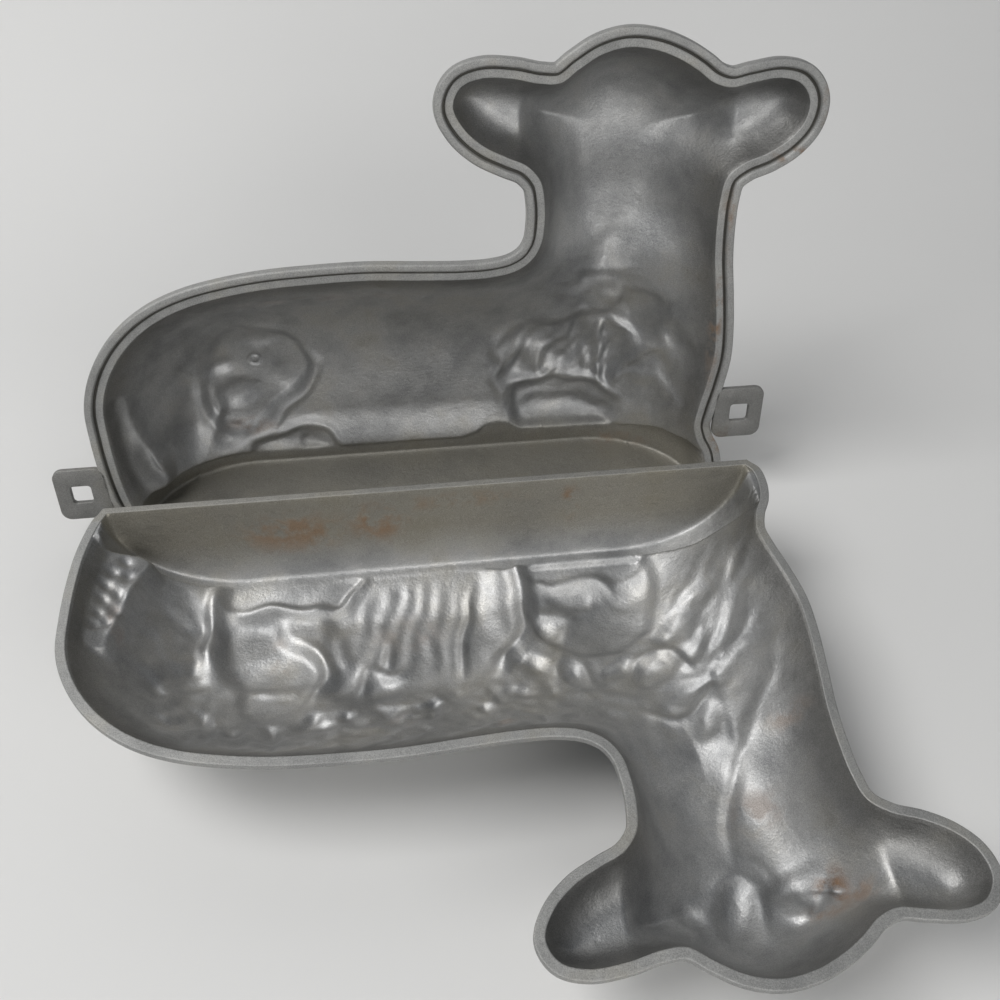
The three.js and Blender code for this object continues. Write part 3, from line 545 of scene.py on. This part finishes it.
class SoftRelief:
    """The relief on a square grid, softened as a sand casting is."""

    def __init__(self, name):
        us = np.arange(SOFT_LOW, LENGTH + 24, SOFT_STEP)
        vs = np.arange(SOFT_LOW, 240, SOFT_STEP)
        grid_u, grid_v = np.meshgrid(us, vs)
        self.height = relief(name, grid_u.ravel(), grid_v.ravel()).reshape(grid_u.shape)
        reach = int(3 * SOFTNESS / SOFT_STEP)
        weights = np.exp(-(np.arange(-reach, reach + 1) * SOFT_STEP / SOFTNESS) ** 2 / 2)
        weights /= weights.sum()
        for axis in (0, 1):
            rolled = [np.roll(self.height, k - reach, axis) * w for k, w in enumerate(weights)]
            self.height = np.sum(rolled, 0)

    def at(self, u, v):
        place_u = np.clip((u - SOFT_LOW) / SOFT_STEP, 0, self.height.shape[1] - 2)
        place_v = np.clip((v - SOFT_LOW) / SOFT_STEP, 0, self.height.shape[0] - 2)
        x, y = place_u.astype(int), place_v.astype(int)
        low = mix(self.height[y, x], self.height[y, x + 1], place_u - x)
        high = mix(self.height[y + 1, x], self.height[y + 1, x + 1], place_u - x)
        return mix(low, high, place_v - y)


def marks(name, u, v):
    total = np.zeros_like(u)
    for mid_u, mid_v, radius, depth in RELIEF[name]["pits"]:
        total += depth * smooth(1.3 - np.hypot(u - mid_u, v - mid_v) / radius)
    if name == "back_half":
        mid_u, mid_v, radius, depth = BACK_RING
        off = np.abs(np.hypot(u - mid_u, v - mid_v) - radius)
        total += depth * smooth(1.2 - off / RING_LINE)
    return total


def platform_floor(u, edge):
    ends = end_round(u / LENGTH, 0.465, 0.265, 0.178, 2)
    return np.minimum(PLATFORM_DEPTH * ends, edge * PLATFORM_SLOPE)


def cavity_depth(name, soft, u, v, edge):
    """Depth at each point, where edge is its distance in from the outline's sides."""
    edge = np.maximum(edge, 0)
    along, up = u / LENGTH, v / LENGTH
    above = smooth((up - EAR_LEVEL) * LENGTH / EAR_RISE)
    tail_ear = smooth((TAIL_EAR_END * LENGTH - u) / EAR_ROOT + 0.5)
    head_ear = smooth((u - HEAD_EAR_START * LENGTH) / EAR_ROOT + 0.5)
    ear = above * np.maximum(tail_ear, head_ear)
    neck = smooth((up - 0.36) / 0.08)
    head = smooth((up - 0.46) / 0.08)
    chest = smooth((along - 0.6) / 0.08) * smooth((up - 0.2) / 0.2)
    top = np.where(up > 0.165, end_round(up, 0.165, 0, 0.25, 2), 1)
    body = BODY_DEPTH * mix(0.4, 1, end_round(along, 0.45, 0.27, 0.2, 2)) * mix(0.25, 1, top)
    body *= 1 - FOOT_SHARE * (1 - smooth((v - PLATFORM_HEIGHT) / FOOT_RISE))
    floor = mix(mix(mix(body, NECK_DEPTH, np.maximum(neck, chest)), HEAD_DEPTH, head), EAR_DEPTH, ear)
    flank = mix(mix(BODY_FLANK, HEAD_FLANK, neck), EAR_FLANK, ear) * FLANK_STRETCH
    climb = 1 - (1 - np.minimum(edge / flank, 1)) ** CLIMB_POWER
    standing = floor * climb
    for points, width, depth, slope_u, slope_v in RELIEF[name]["shelves"]:
        level = depth + slope_u * (u - points[0][0]) + slope_v * (v - points[0][1])
        standing = mix(standing, np.minimum(level, edge * SHELF_SLOPE), share_inside(u, v, points, width))
    standing += soft.at(u, v) * smooth(edge / RELIEF_FADE)
    heights = np.array(RELIEF[name]["platform"])
    foot = np.interp(u, heights[:, 0], heights[:, 1])
    on_platform = 1 - smooth((v - foot) / PLATFORM_STEP)
    standing = mix(standing, platform_floor(u, edge), on_platform)
    slope = np.maximum(v, 0) / math.tan(DRAFT)
    round_off = np.maximum(BASE_FILLET - np.abs(slope - standing), 0) / BASE_FILLET
    return np.maximum(np.minimum(slope, standing) - round_off ** 2 * BASE_FILLET / 4, 0) + marks(name, u, v)


class Field:
    """The cavity's depth on a square grid, and the outer surface at a wall's distance from it."""

    def __init__(self, name, soft):
        self.low = np.array([-14.0, -14.0])
        us = np.arange(self.low[0], LENGTH + 20, FIELD_STEP)
        vs = np.arange(self.low[1], 246, FIELD_STEP)
        grid_u, grid_v = np.meshgrid(us, vs)
        at = np.c_[grid_u.ravel(), grid_v.ravel()]
        inside = is_inside(at, OUTLINE)
        edge = np.zeros(len(at))
        edge[inside] = nearest(at[inside], SIDE_FINE)
        depth = np.where(inside, cavity_depth(name, soft, at[:, 0], at[:, 1], edge), 0)
        self.depth = depth.reshape(grid_u.shape)
        outer = np.full(grid_u.shape, RIM_THICKNESS)
        reach = int(SHELL / FIELD_STEP)
        for i in range(-reach, reach + 1):
            for j in range(-reach, reach + 1):
                away = math.hypot(i, j) * FIELD_STEP
                if away <= SHELL:
                    moved = np.roll(self.depth, (i, j), (0, 1))
                    wall = moved + math.sqrt(SHELL ** 2 - away ** 2)
                    outer = np.where(moved > 0, np.maximum(outer, wall), outer)
        self.outer = outer

    def outer_at(self, at):
        place = (at - self.low) / FIELD_STEP
        cell = np.floor(place).astype(int)
        fu, fv = (place - cell).T
        x, y = cell.T
        low = mix(self.outer[y, x], self.outer[y, x + 1], fu)
        high = mix(self.outer[y + 1, x], self.outer[y + 1, x + 1], fu)
        plane = (at[:, 1] + WALL / math.cos(DRAFT)) / math.tan(DRAFT)
        return np.maximum(np.minimum(mix(low, high, fv), plane), RIM_THICKNESS)


# Mesh of a shell

def lattice(boundary, rings, step, rows):
    """Points inside a closed boundary: rows, rings that follow it, then a triangular lattice."""
    tree = KDTree(len(boundary))
    for i, (x, y) in enumerate(boundary):
        tree.insert((x, y, 0), i)
    tree.balance()
    low, high = boundary.min(0), boundary.max(0)
    found = []
    before, after = np.roll(boundary, 1, axis=0), np.roll(boundary, -1, axis=0)
    along = after - before
    inward = np.c_[along[:, 1], -along[:, 0]] / np.linalg.norm(along, axis=1)[:, None]
    for distance in rings:
        ring = boundary + inward * distance
        near = np.array([tree.find((x, y, 0))[2] for x, y in ring])
        good = is_inside(ring, boundary) & (near > distance * 0.93)
        found.append(ring[good])
    clear = rings[-1] + step * 0.5
    heights = np.arange(low[1], high[1], step * math.sqrt(0.75))
    grid = np.vstack([np.c_[np.arange(low[0] + (i % 2) * step / 2, high[0], step),
                            np.full(len(np.arange(low[0] + (i % 2) * step / 2, high[0], step)), y)]
                      for i, y in enumerate(heights)])
    grid = grid[is_inside(grid, boundary)]
    away = np.array([tree.find((x, y, 0))[2] for x, y in grid])
    grid = grid[away > clear]
    if rows:
        packed = np.vstack(rows)
        packed = packed[is_inside(packed, boundary)]
        gap = np.array([tree.find((x, y, 0))[2] for x, y in packed])
        packed = packed[gap > clear * 0.6]
        grid = grid[nearest(grid, packed) > step * 0.45]
        found = [ring[nearest(ring, packed) > step * 0.3] for ring in found]
        found.append(packed)
    return np.vstack(found + [grid])


def triangles_of(boundary, inner):
    points = [Vector(p) for p in np.vstack([boundary, inner])]
    loop = list(range(len(boundary)))
    area = (np.roll(boundary, -1, axis=0)[:, 0] - boundary[:, 0]) @ (np.roll(boundary, -1, axis=0)[:, 1]
                                                                     + boundary[:, 1])
    if area > 0:
        loop.reverse()
    places, _, faces, origins, _, _ = delaunay_2d_cdt(points, [], [loop], 1, 1e-5)
    source = np.array([o[0] if o else -1 for o in origins])
    return source, np.array(faces)


class Shell:
    """Collects the points and faces of one half, in its own rim plane."""

    def __init__(self):
        self.points = []
        self.looks = []
        self.faces = []
        self.count = 0

    # The last share is painted shade, which darkens a point's colour.
    def add_points(self, at, depth, matt=0.0, painted_shade=0.0):
        first = self.count
        count = len(at)
        self.looks.append(np.c_[np.full(count, matt), np.broadcast_to(painted_shade, count)])
        self.points.append(np.c_[at, np.broadcast_to(depth, len(at))])
        self.count += len(at)
        return first

    def strip(self, a, b, count):
        for i in range(count):
            j = (i + 1) % count
            self.faces.append((a + i, b + i, b + j, a + j))


def ring_at(offset_side, offset_base):
    offsets = mix(offset_base, offset_side, SIDE_SHARE)
    return OUTLINE + NORMALS * offsets[:, None]


def rim_profile(has_lip):
    """Steps of the rim from the cavity's edge to the outer surface: side offset, base offset, depth,
    and height of the lip at that step."""
    inner = [(0.12, 0.1, 0.12, 0), (0.4, 0.35, 0, 0), (0.62, 0.55, 0, 0)]
    b = BASE_RIM - 0.02
    if not has_lip:
        w = RIM_WIDTH
        return inner + [(w - 0.7, b - 0.6, 0, 0), (w - 0.45, b - 0.35, 0, 0), (w - 0.14, b - 0.1, 0.12, 0),
                        (w, b, 0.42, 0), (w, b - 0.05, 0.7, 0), (w, b - 0.35, 2.3, 0), (w, b - 0.4, 2.6, 0)]
    w = SEAT + LIP_WIDTH
    return inner + [
        (3.1, 1.5, 0, 0), (3.4, 1.6, 0.04, 0), (3.7, 1.7, 0.4, 0), (4.0, 1.8, 0.8, 0), (4.25, 1.9, 0.7, 0),
        (4.5, 2.0, 0.3, 0.1), (4.75, 2.1, 0, 0.55), (5.0, 2.2, 0, 0.84), (5.3, 2.3, 0, 0.97),
        (5.6, 2.4, 0, 1.0), (w - 0.95, b - 0.6, 0, 1.0), (w - 0.6, b - 0.4, 0, 0.97),
        (w - 0.25, b - 0.15, 0.08, 0.85),
        (w, b, 0.35, 0.6), (w, b - 0.1, 0.7, 0.2), (w, b - 0.35, 2.3, 0), (w, b - 0.4, 2.6, 0)]


def crease_rows(name):
    rows = []
    us = np.arange(6, 296, 1.2)
    floor = platform_floor(us, np.full(len(us), 20.0)) * math.tan(DRAFT)
    for k in range(-3, 4):
        rows.append(np.c_[us + (k % 2) * 0.6, floor + k * 0.36])
    heights = np.array(RELIEF[name]["platform"])
    for k in range(6):
        rows.append(np.c_[us + (k % 2) * 0.6, np.interp(us, heights[:, 0], heights[:, 1]) - 0.4 + k * 0.6])
    return rows


def build_shell(name, has_lip):
    shell = Shell()
    soft = SoftRelief(name)
    field = Field(name, soft)
    inner = lattice(OUTLINE, INNER_RINGS, FINE_STEP, crease_rows(name))
    source, faces = triangles_of(OUTLINE, inner)
    at = np.vstack([OUTLINE, inner])
    edge = nearest(inner, SIDE_FINE)
    depth = np.r_[np.full(len(OUTLINE), 0.4), cavity_depth(name, soft, inner[:, 0], inner[:, 1], edge)]
    from_side = np.r_[np.zeros(len(OUTLINE)), edge]
    # Painted shade: the colour darkens near the cavity's sides, except close to the base edge.
    rim_painted_shade = EDGE_PAINTED_SHADE * (1 - smooth(from_side / EDGE_PAINTED_SHADE_REACH)) * smooth(at[:, 1] / EDGE_PAINTED_SHADE_RISE)
    shell.add_points(at, depth, 0.0, rim_painted_shade)
    shell.faces += [tuple(source[list(face)]) for face in faces]
    count = len(OUTLINE)
    previous = 0
    for side, base, step_depth, lip in rim_profile(has_lip):
        ring = ring_at(side, base)
        # Painted shade: the groove at the foot of the lip is coloured dark.
        groove_painted_shade = 1.0 if has_lip and 3.5 < side < 4.6 else 0.0
        first = shell.add_points(ring, step_depth - LIP_HEIGHT * lip * LIP_SHARE, 1.0, groove_painted_shade)
        shell.strip(first, previous, count)
        previous = first
    width = (SEAT + LIP_WIDTH if has_lip else RIM_WIDTH) - 0.3
    lower = BASE_RIM - RIM_THICKNESS * math.tan(DRAFT) - 0.02
    outer_edge = ring_at(width, lower)
    inner_outer = lattice(outer_edge, OUTER_RINGS, COARSE_STEP, [])
    source, faces = triangles_of(outer_edge, inner_outer)
    at = np.vstack([outer_edge, inner_outer])
    depth = np.r_[np.full(count, RIM_THICKNESS), field.outer_at(inner_outer)]
    first = shell.add_points(at, depth, 1.0)
    shell.strip(first, previous, count)
    shell.faces += [tuple(first + source[list(face)][::-1]) for face in faces]
    return shell


def rounded_square(middle, half, radius, count):
    """Points of a rounded box as seen from its middle, at even angles."""
    angles = (np.arange(count) + 0.5) / count * 2 * math.pi
    ways = np.c_[np.cos(angles), np.sin(angles)]
    inner = np.array(half) - radius
    found = []
    for way in ways:
        near, far = 0.0, 200.0
        for _ in range(40):
            reach = (near + far) / 2
            over = np.maximum(np.abs(way * reach) - inner, 0)
            if np.hypot(*over) < radius:
                near = reach
            else:
                far = reach
        found.append(way * near)
    return np.array(middle) + np.array(found)


def add_lug(shell, tip, height, direction):
    count = 96
    hole_at = (tip - direction * LUG_INSET, height)
    front, rear = LIP_HEIGHT, LIP_HEIGHT - LUG_THICKNESS
    outer_half = (LUG_LENGTH + 3) / 2
    outer_at = (tip - direction * outer_half, height)
    shift = np.array(outer_at) - np.array(hole_at)

    def outer(inset):
        box = rounded_square((0, 0), (outer_half - inset, LUG_HEIGHT / 2 - inset), LUG_ROUND - inset, 720)
        angles = np.arctan2(box[:, 1] + shift[1], box[:, 0] + shift[0]) % (2 * math.pi)
        order = np.argsort(angles)
        box, angles = box[order] + shift, angles[order]
        wanted = (np.arange(count) + 0.5) / count * 2 * math.pi
        reach = np.interp(wanted, np.r_[angles - 2 * math.pi, angles, angles + 2 * math.pi],
                          np.tile(np.hypot(box[:, 0], box[:, 1]), 3))
        return np.array(hole_at) + np.c_[np.cos(wanted), np.sin(wanted)] * reach[:, None]

    def hole(outset):
        half = LUG_HOLE / 2 + outset
        return rounded_square(hole_at, (half, half), LUG_HOLE_ROUND + outset, count)

    b = LUG_BEVEL
    loops = [(hole(b), front), (outer(b), front), (outer(b * 0.3), front - b * 0.3), (outer(0), front - b),
             (outer(0), rear + b), (outer(b * 0.3), rear + b * 0.3), (outer(b), rear), (hole(b), rear),
             (hole(b * 0.3), rear + b * 0.3), (hole(0), rear + b), (hole(0), front - b),
             (hole(b * 0.3), front - b * 0.3)]
    # Painted shade: the lugs are coloured darker.
    firsts = [shell.add_points(loop, -level, 1.0, 0.45) for loop, level in loops]
    for a, c in zip(firsts, firsts[1:] + firsts[:1]):
        shell.strip(a, c, count)


def place_of(name):
    """Turn and origin of a half's rim plane in the row frame, from the CAD node's box."""
    tail_tip = TAIL_LUG[0] * MM
    low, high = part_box("back_half")
    left = low.x - tail_tip
    if name == "back_half":
        spot = Vector((left, low.y + WALL * math.tan(DRAFT) * MM, WALL * MM))
        return Matrix.Translation(spot) @ Matrix.Rotation(math.pi / 2 - BACK_LEAN, 4, "X"), 1
    low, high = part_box("face_half")
    rim = BASE_RIM * MM
    spot = Vector((left, high.y - rim * math.cos(FACE_TILT), high.z - rim * math.sin(FACE_TILT)))
    return Matrix.Translation(spot) @ Matrix.Rotation(FACE_TILT, 4, "X"), -1


def tarnish_at(name, u, v):
    """Brown tarnish on the base walls, and on the back half's platform."""
    if name == "face_half":
        return 1 - smooth((v - 3.2) / 3.6)
    heights = np.array(RELIEF[name]["platform"])
    foot = np.interp(u, heights[:, 0], heights[:, 1])
    return 0.8 * (1 - smooth((v - foot + 5) / 12))


def rust_at(name, u, v):
    total = np.zeros_like(u)
    for mid_u, mid_v, reach_u, reach_v, share in RUST[name]:
        away = np.hypot((u - mid_u) / reach_u, (v - mid_v) / reach_v)
        total = np.maximum(total, share * smooth(1.3 - away))
    return total


def make_mesh(name, shell, material):
    place, side = place_of(name)
    points = np.vstack(shell.points) * MM
    local = np.c_[points[:, 0], points[:, 1] * side, -points[:, 2]]
    world = local @ np.array(place.to_3x3()).T + np.array(place.translation)
    faces = shell.faces if side > 0 else [face[::-1] for face in shell.faces]
    mesh = bpy.data.meshes.new(name + "_cast")
    mesh.from_pydata(world.tolist(), [], [tuple(int(i) for i in face) for face in faces])
    u, v = points[:, 0] / MM, points[:, 1] / MM
    matt, painted_shade = np.vstack(shell.looks).T
    looks = {"matt": matt, "painted_shade": painted_shade, "tarnish": tarnish_at(name, u, v), "rust": rust_at(name, u, v)}
    for look, values in looks.items():
        mesh.attributes.new(look, "FLOAT", "POINT").data.foreach_set("value", values.astype(np.float32))
    mesh.shade_smooth()
    mesh.validate()
    piece = bpy.data.objects.new(name + "_cast", mesh)
    piece.data.materials.append(material)
    bpy.context.scene.collection.objects.link(piece)
    return piece


# Materials

NOISES = (("cloud", 34.0, 5.0), ("blotch", 110.0, 4.0), ("fine", 800.0, 4.0), ("grain", 2400.0, 2.0))
DARK_METAL = (0.42, 0.425, 0.43, 1.0)
LIGHT_METAL = (0.66, 0.66, 0.655, 1.0)
RIM_METAL = (0.40, 0.40, 0.385, 1.0)
TARNISH = (0.41, 0.385, 0.32, 1.0)
RUST_BROWN = (0.30, 0.15, 0.05, 1.0)
# Near-black colour of the painted shade
PAINTED_SHADE_COLOUR = (0.10, 0.095, 0.08, 1.0)


def node(tree, kind, **values):
    made = tree.nodes.new(kind)
    for key, value in values.items():
        if key in made.inputs.keys():
            made.inputs[key].default_value = value
        else:
            setattr(made, key, value)
    return made


def blend(tree, share, first, second, mode="MIX"):
    """Colour that goes from the first to the second over share; each is a socket or a value."""
    made = node(tree, "ShaderNodeMix", data_type="RGBA", blend_type=mode)
    for index, value in ((0, share), (6, first), (7, second)):
        if isinstance(value, (tuple, float)):
            made.inputs[index].default_value = value
        else:
            tree.links.new(value, made.inputs[index])
    return made.outputs[2]


def reckon(tree, operation, first, second):
    """One sum of two numbers, each a socket or a value."""
    made = node(tree, "ShaderNodeMath", operation=operation, use_clamp=True)
    for index, value in enumerate((first, second)):
        if isinstance(value, float):
            made.inputs[index].default_value = value
        else:
            tree.links.new(value, made.inputs[index])
    return made.outputs[0]


def spread(tree, value, low, high, to_low, to_high):
    made = node(tree, "ShaderNodeMapRange")
    for name, number in (("From Min", low), ("From Max", high), ("To Min", to_low), ("To Max", to_high)):
        made.inputs[name].default_value = number
    tree.links.new(value, made.inputs["Value"])
    return made.outputs[0]


def cast_material():
    """Dull cast aluminium with a sandy grain, brown tarnish on the base walls, a few stains, and painted
    shade near the rims' sides, in the lip's groove and on the lugs.
    """
    material = bpy.data.materials.new("cast_aluminium")
    material.use_nodes = True
    tree = material.node_tree
    tree.nodes.clear()
    link = tree.links.new
    out = node(tree, "ShaderNodeOutputMaterial")
    shader = node(tree, "ShaderNodeBsdfPrincipled")
    link(shader.outputs[0], out.inputs[0])
    where = node(tree, "ShaderNodeTexCoord").outputs["Object"]
    noise = {}
    for name, scale, detail in NOISES:
        texture = node(tree, "ShaderNodeTexNoise", Scale=scale, Detail=detail, Roughness=0.6)
        link(where, texture.inputs["Vector"])
        noise[name] = texture.outputs["Fac"]
    look = {name: node(tree, "ShaderNodeAttribute", attribute_name=name).outputs["Fac"]
            for name in ("matt", "painted_shade", "tarnish", "rust")}
    tone = blend(tree, spread(tree, noise["cloud"], 0.35, 0.65, 0.0, 1.0), DARK_METAL, LIGHT_METAL)
    tone = blend(tree, reckon(tree, "MULTIPLY", look["matt"], 0.55), tone, RIM_METAL)
    brown = reckon(tree, "MULTIPLY", look["tarnish"], spread(tree, noise["cloud"], 0.3, 0.7, 0.7, 1.0))
    brown = reckon(tree, "SUBTRACT", brown, reckon(tree, "MULTIPLY", look["matt"], 0.5))
    tone = blend(tree, brown, tone, TARNISH)
    patches = spread(tree, noise["cloud"], 0.54, 0.74, 0.0, 0.5)
    tone = blend(tree, patches, tone, TARNISH)
    stain = reckon(tree, "MULTIPLY", look["rust"], spread(tree, noise["blotch"], 0.42, 0.6, 0.0, 1.0))
    tone = blend(tree, stain, tone, RUST_BROWN)
    # Painted shade darkens the colour towards near-black.
    tone = blend(tree, reckon(tree, "MULTIPLY", look["painted_shade"], 0.8), tone, PAINTED_SHADE_COLOUR)
    speckle = spread(tree, noise["grain"], 0.35, 0.65, 0.7, 1.0)
    speckle = blend(tree, 1.0, tone, speckle, "MULTIPLY")
    link(speckle, shader.inputs["Base Color"])
    rough = spread(tree, noise["blotch"], 0.3, 0.7, 0.48, 0.6)
    rough = reckon(tree, "ADD", rough, reckon(tree, "MULTIPLY", look["matt"], 0.16))
    rough = reckon(tree, "ADD", rough, reckon(tree, "MULTIPLY", brown, 0.12))
    rough = reckon(tree, "ADD", rough, reckon(tree, "MULTIPLY", stain, 0.3))
    link(rough, shader.inputs["Roughness"])
    bare = reckon(tree, "SUBTRACT", 1.0, reckon(tree, "MULTIPLY", stain, 0.7))
    link(bare, shader.inputs["Metallic"])
    bump = node(tree, "ShaderNodeBump", Strength=0.7, Distance=0.0006)
    link(noise["blotch"], bump.inputs["Height"])
    second = node(tree, "ShaderNodeBump", Strength=0.6, Distance=0.00025)
    link(noise["fine"], second.inputs["Height"])
    link(bump.outputs["Normal"], second.inputs["Normal"])
    third = node(tree, "ShaderNodeBump", Strength=0.5, Distance=0.00012)
    link(noise["grain"], third.inputs["Height"])
    link(second.outputs["Normal"], third.inputs["Normal"])
    link(third.outputs["Normal"], shader.inputs["Normal"])
    return material


def plain_material(name, colour, roughness):
    material = bpy.data.materials.new(name)
    material.use_nodes = True
    shader = material.node_tree.nodes["Principled BSDF"]
    shader.inputs["Base Color"].default_value = (*colour, 1)
    shader.inputs["Roughness"].default_value = roughness
    return material


# Stage, light and camera

def add_stage():
    mesh = bpy.data.meshes.new("floor")
    bend = np.linspace(0.15, 1.35, 10)
    rise = [(0.0, 0.0)] + [(0.35 * math.sin(a), 0.35 * (1 - math.cos(a))) for a in bend]
    rise.append((rise[-1][0] + 0.25, rise[-1][1] + 1.6))
    front, back, half = -2.2, 0.30, 3.0
    line = [(front, 0.0)] + [(back + y, z) for y, z in rise]
    points = [(x, y, z) for y, z in line for x in (-half, half)]
    faces = [(2 * i, 2 * i + 1, 2 * i + 3, 2 * i + 2) for i in range(len(line) - 1)]
    mesh.from_pydata(points, [], faces)
    mesh.shade_smooth()
    floor = bpy.data.objects.new("floor", mesh)
    floor.data.materials.append(plain_material("pale_floor", (0.69, 0.69, 0.685), 0.7))
    bpy.context.scene.collection.objects.link(floor)
    return floor


def add_light(name, place, aim, size, power, colour):
    data = bpy.data.lights.new(name, "AREA")
    data.shape = "RECTANGLE"
    data.size, data.size_y = size
    data.energy = power
    data.color = colour
    lamp = bpy.data.objects.new(name, data)
    lamp.location = place
    lamp.rotation_mode = "QUATERNION"
    lamp.rotation_quaternion = (Vector(aim) - Vector(place)).to_track_quat("-Z", "Y")
    bpy.context.scene.collection.objects.link(lamp)


def add_world():
    world = bpy.data.worlds.new("studio")
    world.use_nodes = True
    world.node_tree.nodes["Background"].inputs["Color"].default_value = (0.60, 0.65, 0.72, 1)
    world.node_tree.nodes["Background"].inputs["Strength"].default_value = 0.17
    bpy.context.scene.world = world


def add_camera():
    data = bpy.data.cameras.new("photo_view")
    data.sensor_width = 36
    data.lens = CAMERA_LENS
    camera = bpy.data.objects.new("photo_view", data)
    forward = Vector((math.sin(CAMERA_AZIMUTH) * math.cos(CAMERA_PITCH),
                      math.cos(CAMERA_AZIMUTH) * math.cos(CAMERA_PITCH), math.sin(CAMERA_PITCH)))
    turn = forward.to_track_quat("-Z", "Y") @ Matrix.Rotation(CAMERA_ROLL, 3, "Z").to_quaternion()
    camera.location = CAMERA_PLACE
    camera.rotation_mode = "QUATERNION"
    camera.rotation_quaternion = turn
    bpy.context.scene.collection.objects.link(camera)
    bpy.context.scene.camera = camera


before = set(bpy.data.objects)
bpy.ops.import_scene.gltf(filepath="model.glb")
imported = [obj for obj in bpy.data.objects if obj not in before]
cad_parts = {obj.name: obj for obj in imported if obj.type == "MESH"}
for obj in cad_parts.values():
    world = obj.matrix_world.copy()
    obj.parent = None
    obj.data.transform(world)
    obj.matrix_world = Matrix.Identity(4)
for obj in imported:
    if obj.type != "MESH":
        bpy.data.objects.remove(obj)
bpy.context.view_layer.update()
cast = cast_material()
for half_name, body, half_slot in (("face_half", "face", "face_cast"), ("back_half", "back", "back_cast")):
    half_shell = build_shell(half_name, half_name == "back_half")
    if half_name == "back_half":
        add_lug(half_shell, *TAIL_LUG)
        add_lug(half_shell, *CHEST_LUG)
    half = make_mesh(half_name, half_shell, cast)
    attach(half, body)
    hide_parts(half_name)
add_stage()
add_light("window", (-0.9, -0.2, 1.5), (0, 0, 0.05), (1.0, 0.8), 20, (1.0, 0.99, 0.975))
add_light("front_fill", (0.3, -1.5, 0.85), (0, 0, 0.08), (1.6, 0.8), 14, (1.0, 0.985, 0.96))
add_world()
add_camera()
bpy.context.scene.view_settings.view_transform = "Standard"
